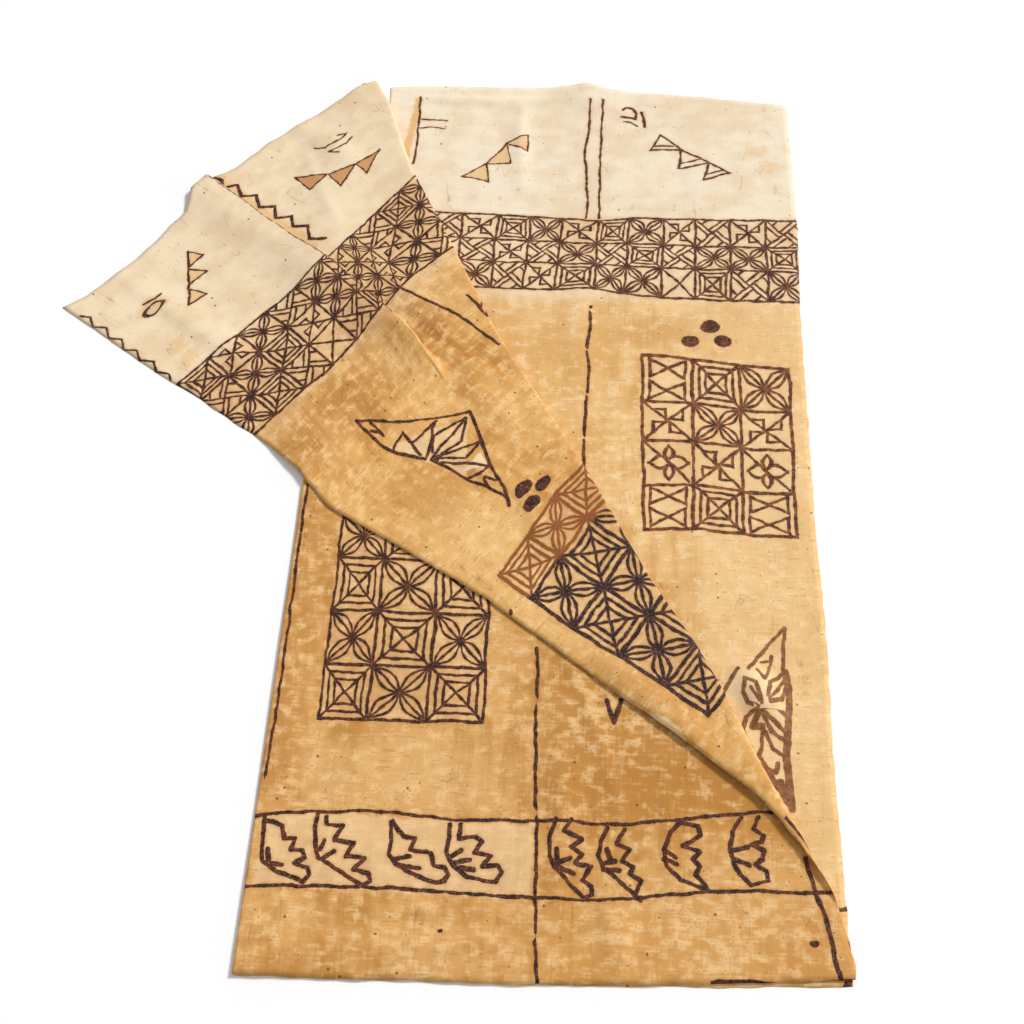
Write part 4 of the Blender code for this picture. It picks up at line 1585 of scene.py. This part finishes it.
LEAVES = (
    Leaf(
        arc=path(18, -688, 18, -715, 21, -742, 24, -758, 48, -774, 87, -787),
        teeth=path(20, -694, 45, -702, 50, -722, 66, -722, 62, -739, 80, -738, 85, -749, 72, -760,
                   92, -765, 96, -776, 88, -787),
        veins=(path(30, -740, 34, -756), path(28, -760, 55, -765)),
    ),
    Leaf(
        arc=path(99, -680, 97, -705, 100, -732, 106, -748, 130, -762, 178, -787),
        teeth=path(113, -683, 115, -696, 138, -698, 128, -721, 156, -723, 148, -743, 176, -745, 161, -763,
                   184, -768, 187, -778, 178, -787),
        veins=(path(113, -722, 107, -735), path(130, -738, 109, -750)),
    ),
    Leaf(
        arc=path(209, -688, 213, -715, 212, -737, 222, -752, 250, -768, 290, -778),
        teeth=path(211, -687, 234, -708, 252, -711, 247, -730, 278, -733, 283, -752, 299, -753, 305, -763,
                   300, -774, 288, -778),
        veins=(path(247, -740, 222, -746), path(262, -759, 228, -755)),
    ),
    Leaf(
        arc=path(301, -684, 303, -705, 300, -728, 309, -748, 332, -765, 372, -772),
        teeth=path(317, -685, 318, -708, 340, -703, 352, -711, 341, -729, 366, -733, 354, -748, 378, -746,
                   385, -756, 377, -772),
        veins=(path(322, -726, 304, -736), path(335, -740, 312, -745), path(342, -754, 320, -752)),
    ),
    Leaf(
        arc=path(460, -672, 455, -700, 456, -730, 464, -745, 485, -765, 510, -787),
        teeth=path(487, -672, 476, -690, 502, -699, 488, -714, 505, -722, 495, -736, 518, -740, 508, -761,
                   522, -770, 523, -782, 510, -788),
        veins=(path(467, -718, 468, -736), path(487, -730, 466, -741), path(493, -752, 470, -746)),
    ),
    Leaf(
        arc=path(543, -678, 532, -702, 528, -722, 536, -742, 560, -762, 592, -790),
        teeth=path(568, -680, 556, -704, 576, -712, 562, -731, 583, -740, 576, -751, 594, -762,
                   586, -778),
        veins=(path(541, -712, 545, -729), path(552, -732, 535, -735), path(560, -746, 536, -744)),
    ),
    Leaf(
        arc=path(652, -664, 637, -682, 629, -712, 634, -738, 652, -757, 694, -770),
        teeth=path(652, -664, 680, -668, 684, -682, 668, -694, 657, -701, 682, -710, 670, -722, 680, -732,
                   673, -745, 691, -767),
        veins=(path(646, -722, 630, -712), path(648, -733, 629, -726)),
    ),
    Leaf(
        arc=path(745, -653, 731, -677, 726, -705, 730, -726, 740, -744, 757, -758),
        teeth=path(772, -652, 764, -672, 778, -683, 774, -693, 760, -698, 778, -706, 776, -718, 763, -727,
                   780, -735, 783, -750, 758, -758),
        veins=(path(754, -701, 729, -707), path(754, -728, 730, -720)),
    ),
)
REVERSE_SIDE_LINE = Course(path(-920, 890, -890, 884, -840, 875, -800, 865, -770, 855, -740, 848,
                                -715, 842), 0.0078)
# where each stretch of the leaf band starts and ends, and the lines that cross it
LEAF_ENDS = (0.0, 0.197, 0.415, 0.612, 0.90)
CENTRE_LINE_AT = 0.43
SIDE_LINE_AT = 0.86
REVERSE_FIELD_MARKS = (
    REVERSE_CENTRE,
    stroke(8, 556, -470, 546, -508, 533, -470),
    Oval(0.528, -0.640, 0.006, 0.005),
    Oval(0.729, -0.643, 0.008, 0.007),
    Oval(0.299, -0.849, 0.004, 0.003),
    Oval(0.848, -0.840, 0.008, 0.005),
    REVERSE_SIDE_LINE,
    Course(path(700, -906, 760, -902, 820, -904, 900, -894), 0.0090, along_x=True),
    Course(path(-720, 10, -600, 9, -450, 13, -200, 9, -50, 11), 0.0048),
)

ANYWHERE = (-2.0, 2.0, -2.0, 2.0)


def on_floor(name: str, area: Area, ink: Ink, marks: Marks, washes: Washes = ()) -> Region:
    """A region of the floor half's upper face."""
    return Region(f"floor half, {name}", Side.FRONT, area, FLOOR_GROUND, ink, marks, washes)


def on_flap(name: str, area: Area, ink: Ink, marks: Marks, washes: Washes = ()) -> Region:
    """A region of the flap's upper face."""
    return Region(f"flap, {name}", Side.FRONT, area, FLAP_GROUND, ink, marks, washes)


def on_reverse(name: str, area: Area, ink: Ink, marks: Marks, washes: Washes = ()) -> Region:
    """A region of the cloth's reverse, which the folded half shows."""
    return Region(f"reverse, {name}", Side.REVERSE, area, REVERSE_GROUND, ink, marks, washes)


def leaf_regions() -> tuple[Region, ...]:
    """The leaf band, cut into stretches of two leaves.

    Returns:
        One region for each stretch.
    """
    regions = []
    wash = Wash(Patch(0.015, 0.43, -0.795, -0.680), LIGHT_GROUND, 0.5, 0.010)
    for number, (start, end) in enumerate(zip(LEAF_ENDS, LEAF_ENDS[1:])):
        marks = (LEAF_TOP, LEAF_FOOT, *LEAVES[2 * number : 2 * number + 2])
        if start <= CENTRE_LINE_AT <= end:
            marks += (REVERSE_CENTRE,)
        if start <= SIDE_LINE_AT <= end:
            marks += (REVERSE_SIDE_LINE,)
        area = (start, end, -0.812, -0.628)
        regions.append(on_reverse(f"leaves {number + 1}", area, REVERSE_INK, marks, (wash,)))
    return tuple(regions)


REGIONS = (
    on_floor("cream left", (0.0, 0.225, 0.583, 2.0), FLOOR_INK, FLOOR_LEFT_MARKS,
             (Wash(Patch(0.118, 0.134, 0.70, 0.868), STAIN_AND_PAINTED_SHADE, 0.8, 0.008),)),
    on_floor("cream middle", (0.225, 0.425, 0.583, 2.0), FLOOR_INK, FLOOR_BUNTING,
             tuple(Wash(mark, PALE_FILL) for mark in FLOOR_BUNTING)),
    on_floor("double line", (0.425, 0.530, 0.583, 2.0), FLOOR_INK, FLOOR_DOUBLE_LINE),
    on_floor("cream right", (0.530, 2.0, 0.583, 2.0), FLOOR_INK, FLOOR_RIGHT_MARKS,
             (Wash(Oval(0.82, 0.755, 0.022, 0.015), STAIN_AND_PAINTED_SHADE, 0.35, 0.012),
              Wash(Oval(0.845, 0.712, 0.026, 0.014), STAIN_AND_PAINTED_SHADE, 0.3, 0.012))),
    on_floor("band", (0.0, 2.0, 0.352, 0.583), FLOOR_INK, (FLOOR_BAND, *FLOOR_DOUBLE_LINE)),
    on_floor("block", (0.590, 0.876, -0.158, 0.250), FLOOR_BLOCK_INK, (FLOOR_BLOCK,),
             (Wash(FLOOR_BLOCK, LIGHT_GROUND, 0.45, 0.006),)),
    # the triangle's pale oval is a painted highlight on the floor's bulge, over paler ground
    on_floor("triangle", (0.680, 0.842, -0.470, -0.300), BRUSHED_INK, FLOOR_TRIANGLE_MARKS,
             (Wash(Oval(0.766, -0.440, 0.046, 0.034, -25.0), linear(246, 222, 182), 0.6, 0.030),)),
    on_floor("triangle foot", (0.680, 0.842, -0.650, -0.470), BRUSHED_INK, FLOOR_TRIANGLE_FOOT_MARKS,
             (Wash(Patch(0.730, 0.824, -0.600, -0.400), LIGHT_GROUND, 0.5, 0.030),)),
    on_floor("field", (0.0, 2.0, -2.0, 2.0), FLOOR_INK, FLOOR_FIELD_MARKS),
    # the outer cream and the band also take the painted shade line along the pleat's edge
    on_flap("cream outer", (-2.0, -0.50, 0.690, 2.0), FLAP_INK,
            FLAP_OUTER_MARKS + FLAP_OUTER_BUNTING + (PLEAT_SHADE_LINE,),
            (*(Wash(mark, PALE_FILL) for mark in FLAP_OUTER_BUNTING),
             Wash(Oval(-0.845, 0.735, 0.018, 0.015), STAIN_AND_PAINTED_SHADE, 0.4, 0.020),
             Wash(Oval(-0.850, 0.702, 0.024, 0.016), STAIN_AND_PAINTED_SHADE, 0.4, 0.024),
             Wash(Oval(-0.812, 0.845, 0.026, 0.018), STAIN_AND_PAINTED_SHADE, 0.35, 0.010))),
    # the zigzag's wash, between the pleat's edge and the zigzag, is painted shade
    on_flap("zigzag", (-0.50, -0.375, 0.690, 2.0), FLAP_INK, (ZIGZAG,),
            (Wash(Patch(-0.460, -0.424, 0.66, 1.0), STAIN_AND_PAINTED_SHADE, 0.60, 0.014),)),
    on_flap("cream inner", (-0.375, 0.0, 0.690, 2.0), FLAP_INK, FLAP_INNER_MARKS + FLAP_INNER_BUNTING,
            tuple(Wash(mark, DEEP_FILL) for mark in FLAP_INNER_BUNTING)),
    # with the painted shade line along the pleat's edge
    on_flap("band", (-2.0, 0.0, 0.460, 0.690), FLAP_INK, (FLAP_BAND, FLAP_LINE_MARKS[0], PLEAT_SHADE_LINE)),
    on_flap("triangle", (-0.735, -0.525, 0.100, 0.372), FLAP_INK, FLAP_TRIANGLE_MARKS,
            FLAP_TRIANGLE_WASHES),
    on_flap("triangle foot", (-0.735, -0.525, -0.006, 0.100), FLAP_INK,
            (FLAP_TRIANGLE_MARKS[1], FLAP_TRIANGLE_MARKS[3], FLAP_TRIANGLE_MARKS[-2], *FLAP_OVALS)),
    on_flap("block", (-0.795, -0.395, -0.465, -0.006), BLOCK_INK, (FLAP_BLOCK,),
            (Wash(FLAP_BLOCK, LIGHT_GROUND, 0.25, 0.006),)),
    on_flap("line", (-0.42, -0.25, 0.240, 0.460), FLAP_INK, FLAP_LINE_MARKS),
    on_flap("field", ANYWHERE, FLAP_INK, FLAP_FIELD_MARKS,
            (Wash(Oval(-0.836, -0.412, 0.016, 0.036), linear(248, 222, 172), 0.8, 0.008),)),
    on_reverse("block", (0.065, 0.357, -0.538, -0.125), REVERSE_INK, (REVERSE_BLOCK,),
               (Wash(REVERSE_BLOCK, LIGHT_GROUND, 0.3, 0.006),)),
    *leaf_regions(),
    on_reverse("field", ANYWHERE, REVERSE_INK, REVERSE_FIELD_MARKS),
)


@dataclass
class BarkCloth:
    """The whole cloth: one painted sheet on its folds."""

    folds: Folds
    outline: Outline
    regions: tuple[Region, ...] = REGIONS
    flat_size: tuple[float, float] = (1.80, 1.80)

    def build(self) -> bpy.types.Object:
        """Build the folded and painted sheet.

        Returns:
            The finished object.
        """
        sheet = FlatSheet(self.folds, self.outline).build()
        flat = np.array([vert.co[:2] for vert in sheet.verts])
        flat_layer = sheet.loops.layers.uv.new(FLAT_MAP)
        for face in sheet.faces:
            for loop in face.loops:
                loop[flat_layer].uv = loop.vert.co[:2]
        for vert, place in zip(sheet.verts, self.folds.fold(flat)):
            vert.co = Vector(place)
        bmesh.ops.triangulate(sheet, faces=sheet.faces, quad_method="BEAUTY", ngon_method="BEAUTY")
        bmesh.ops.recalc_face_normals(sheet, faces=sheet.faces)
        data = bpy.data.meshes.new("painted_sheet")
        sheet.to_mesh(data)
        sheet.free()
        piece = bpy.data.objects.new("painted_sheet", data)
        bpy.context.scene.collection.objects.link(piece)
        self.thicken(piece)
        self.paint(piece)
        piece.data.shade_smooth()
        return piece

    def thicken(self, piece: bpy.types.Object) -> None:
        """Give the sheet its thickness; the second face takes the second material."""
        for name in ("front", "reverse"):
            piece.data.materials.append(bpy.data.materials.new(name))
        solid = piece.modifiers.new("thickness", "SOLIDIFY")
        solid.thickness = self.folds.thickness
        solid.offset = 0.0
        solid.material_offset = 1
        evaluated = piece.evaluated_get(bpy.context.evaluated_depsgraph_get())
        data = bpy.data.meshes.new_from_object(evaluated)
        piece.modifiers.remove(solid)
        piece.data = data

    def paint(self, piece: bpy.types.Object) -> None:
        """Give each face the material of its region."""
        data = piece.data
        count = len(data.polygons)
        face_side = np.zeros(count, np.int32)
        data.polygons.foreach_get("material_index", face_side)
        uv = np.zeros(len(data.loops) * 2, np.float32)
        data.uv_layers[FLAT_MAP].data.foreach_get("uv", uv)
        uv = uv.reshape(-1, 2)
        starts = np.zeros(count, np.int32)
        data.polygons.foreach_get("loop_start", starts)
        totals = np.zeros(count, np.int32)
        data.polygons.foreach_get("loop_total", totals)
        centres = np.add.reduceat(uv, starts) / totals[:, None]
        data.materials.clear()
        for region in self.regions:
            data.materials.append(Painting(region).material())
        chosen = np.full(count, -1, np.int32)
        for index, region in enumerate(self.regions):
            reverse = region.side is Side.REVERSE
            x = -centres[:, 0] if reverse else centres[:, 0]
            y = centres[:, 1]
            least_x, most_x, least_y, most_y = region.area
            inside = (x > least_x) & (x <= most_x) & (y > least_y) & (y <= most_y)
            chosen[(chosen < 0) & inside & (face_side == region.side.value)] = index
        data.polygons.foreach_set("material_index", chosen)

    def declare(self, piece: bpy.types.Object) -> None:
        """Hide the CAD part that the piece stands for, and attach the piece to the body that it moves with.
        """
        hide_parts("bark_cloth")
        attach(piece, "root")


@dataclass(frozen=True)
class Studio:
    """Pale floor, soft light and the camera at the photo's angle."""

    camera_at: tuple[float, float, float] = (0.2216, -1.4472, 2.2094)
    aimed_at: tuple[float, float, float] = (0.1660, -0.1208, 0.0)
    lens: float = 52.417
    sensor: float = 36.0
    floor_size: float = 14.0
    floor_colour: Colour = (0.96, 0.96, 0.96)
    key_from: tuple[float, float, float] = (2.2, 1.6, 2.2)
    key_strength: float = 2.9
    key_degrees: float = 14.0
    sky_strength: float = 0.46

    def build(self) -> None:
        """Set up floor, light and camera."""
        self.floor()
        self.light()
        self.camera()

    def floor(self) -> None:
        """A plain pale floor."""
        mesh = bmesh.new()
        bmesh.ops.create_grid(mesh, x_segments=1, y_segments=1, size=0.5 * self.floor_size)
        data = bpy.data.meshes.new("floor")
        mesh.to_mesh(data)
        mesh.free()
        floor = bpy.data.objects.new("floor", data)
        bpy.context.scene.collection.objects.link(floor)
        box = Paintbox("floor")
        shader = box.add("ShaderNodeBsdfPrincipled", {},
                         {"Base Color": self.floor_colour, "Roughness": 0.9})
        box.add("ShaderNodeOutputMaterial", {}, {0: shader.outputs[0]})
        data.materials.append(box.material)
        floor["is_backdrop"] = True

    def light(self) -> None:
        """Soft light all round, and a large soft key from the upper right."""
        world = bpy.data.worlds.new("studio")
        bpy.context.scene.world = world
        world.use_nodes = True
        background = world.node_tree.nodes["Background"]
        background.inputs["Color"].default_value = (1.0, 1.0, 1.0, 1.0)
        background.inputs["Strength"].default_value = self.sky_strength
        bpy.context.scene.view_settings.view_transform = "Standard"
        lamp = bpy.data.lights.new("key", "SUN")
        lamp.angle = math.radians(self.key_degrees)
        lamp.energy = self.key_strength
        item = bpy.data.objects.new("key", lamp)
        item.location = self.key_from
        item.rotation_euler = (-item.location).to_track_quat("-Z", "Y").to_euler()
        bpy.context.scene.collection.objects.link(item)

    def camera(self) -> None:
        """The camera, as the photo was taken."""
        lens = bpy.data.cameras.new("camera")
        lens.lens = self.lens
        lens.sensor_width = self.sensor
        item = bpy.data.objects.new("camera", lens)
        item.location = self.camera_at
        view = Vector(self.aimed_at) - Vector(self.camera_at)
        item.rotation_euler = view.to_track_quat("-Z", "Y").to_euler()
        bpy.context.scene.collection.objects.link(item)
        bpy.context.scene.camera = item


def write_sizes() -> None:
    """Work out the CAD model's box and the finished one's."""
    boxes = {"cad": CAD_BOX, "visual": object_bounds()}
    boxes = {name: [list(corner) for corner in box] for name, box in boxes.items()}


def main() -> None:
    """Build the cloth and the studio in order."""
    logging.basicConfig(level=logging.INFO, format="%(name)s: %(message)s")
    cloth = BarkCloth(Folds(relief=RELIEF), Outline())
    piece = cloth.build()
    cloth.declare(piece)
    LOG.info("%s: %d faces, %d materials", piece.name, len(piece.data.polygons),
             len(piece.data.materials))
    Studio().build()
    write_sizes()


if __name__ == "__main__":
    main()
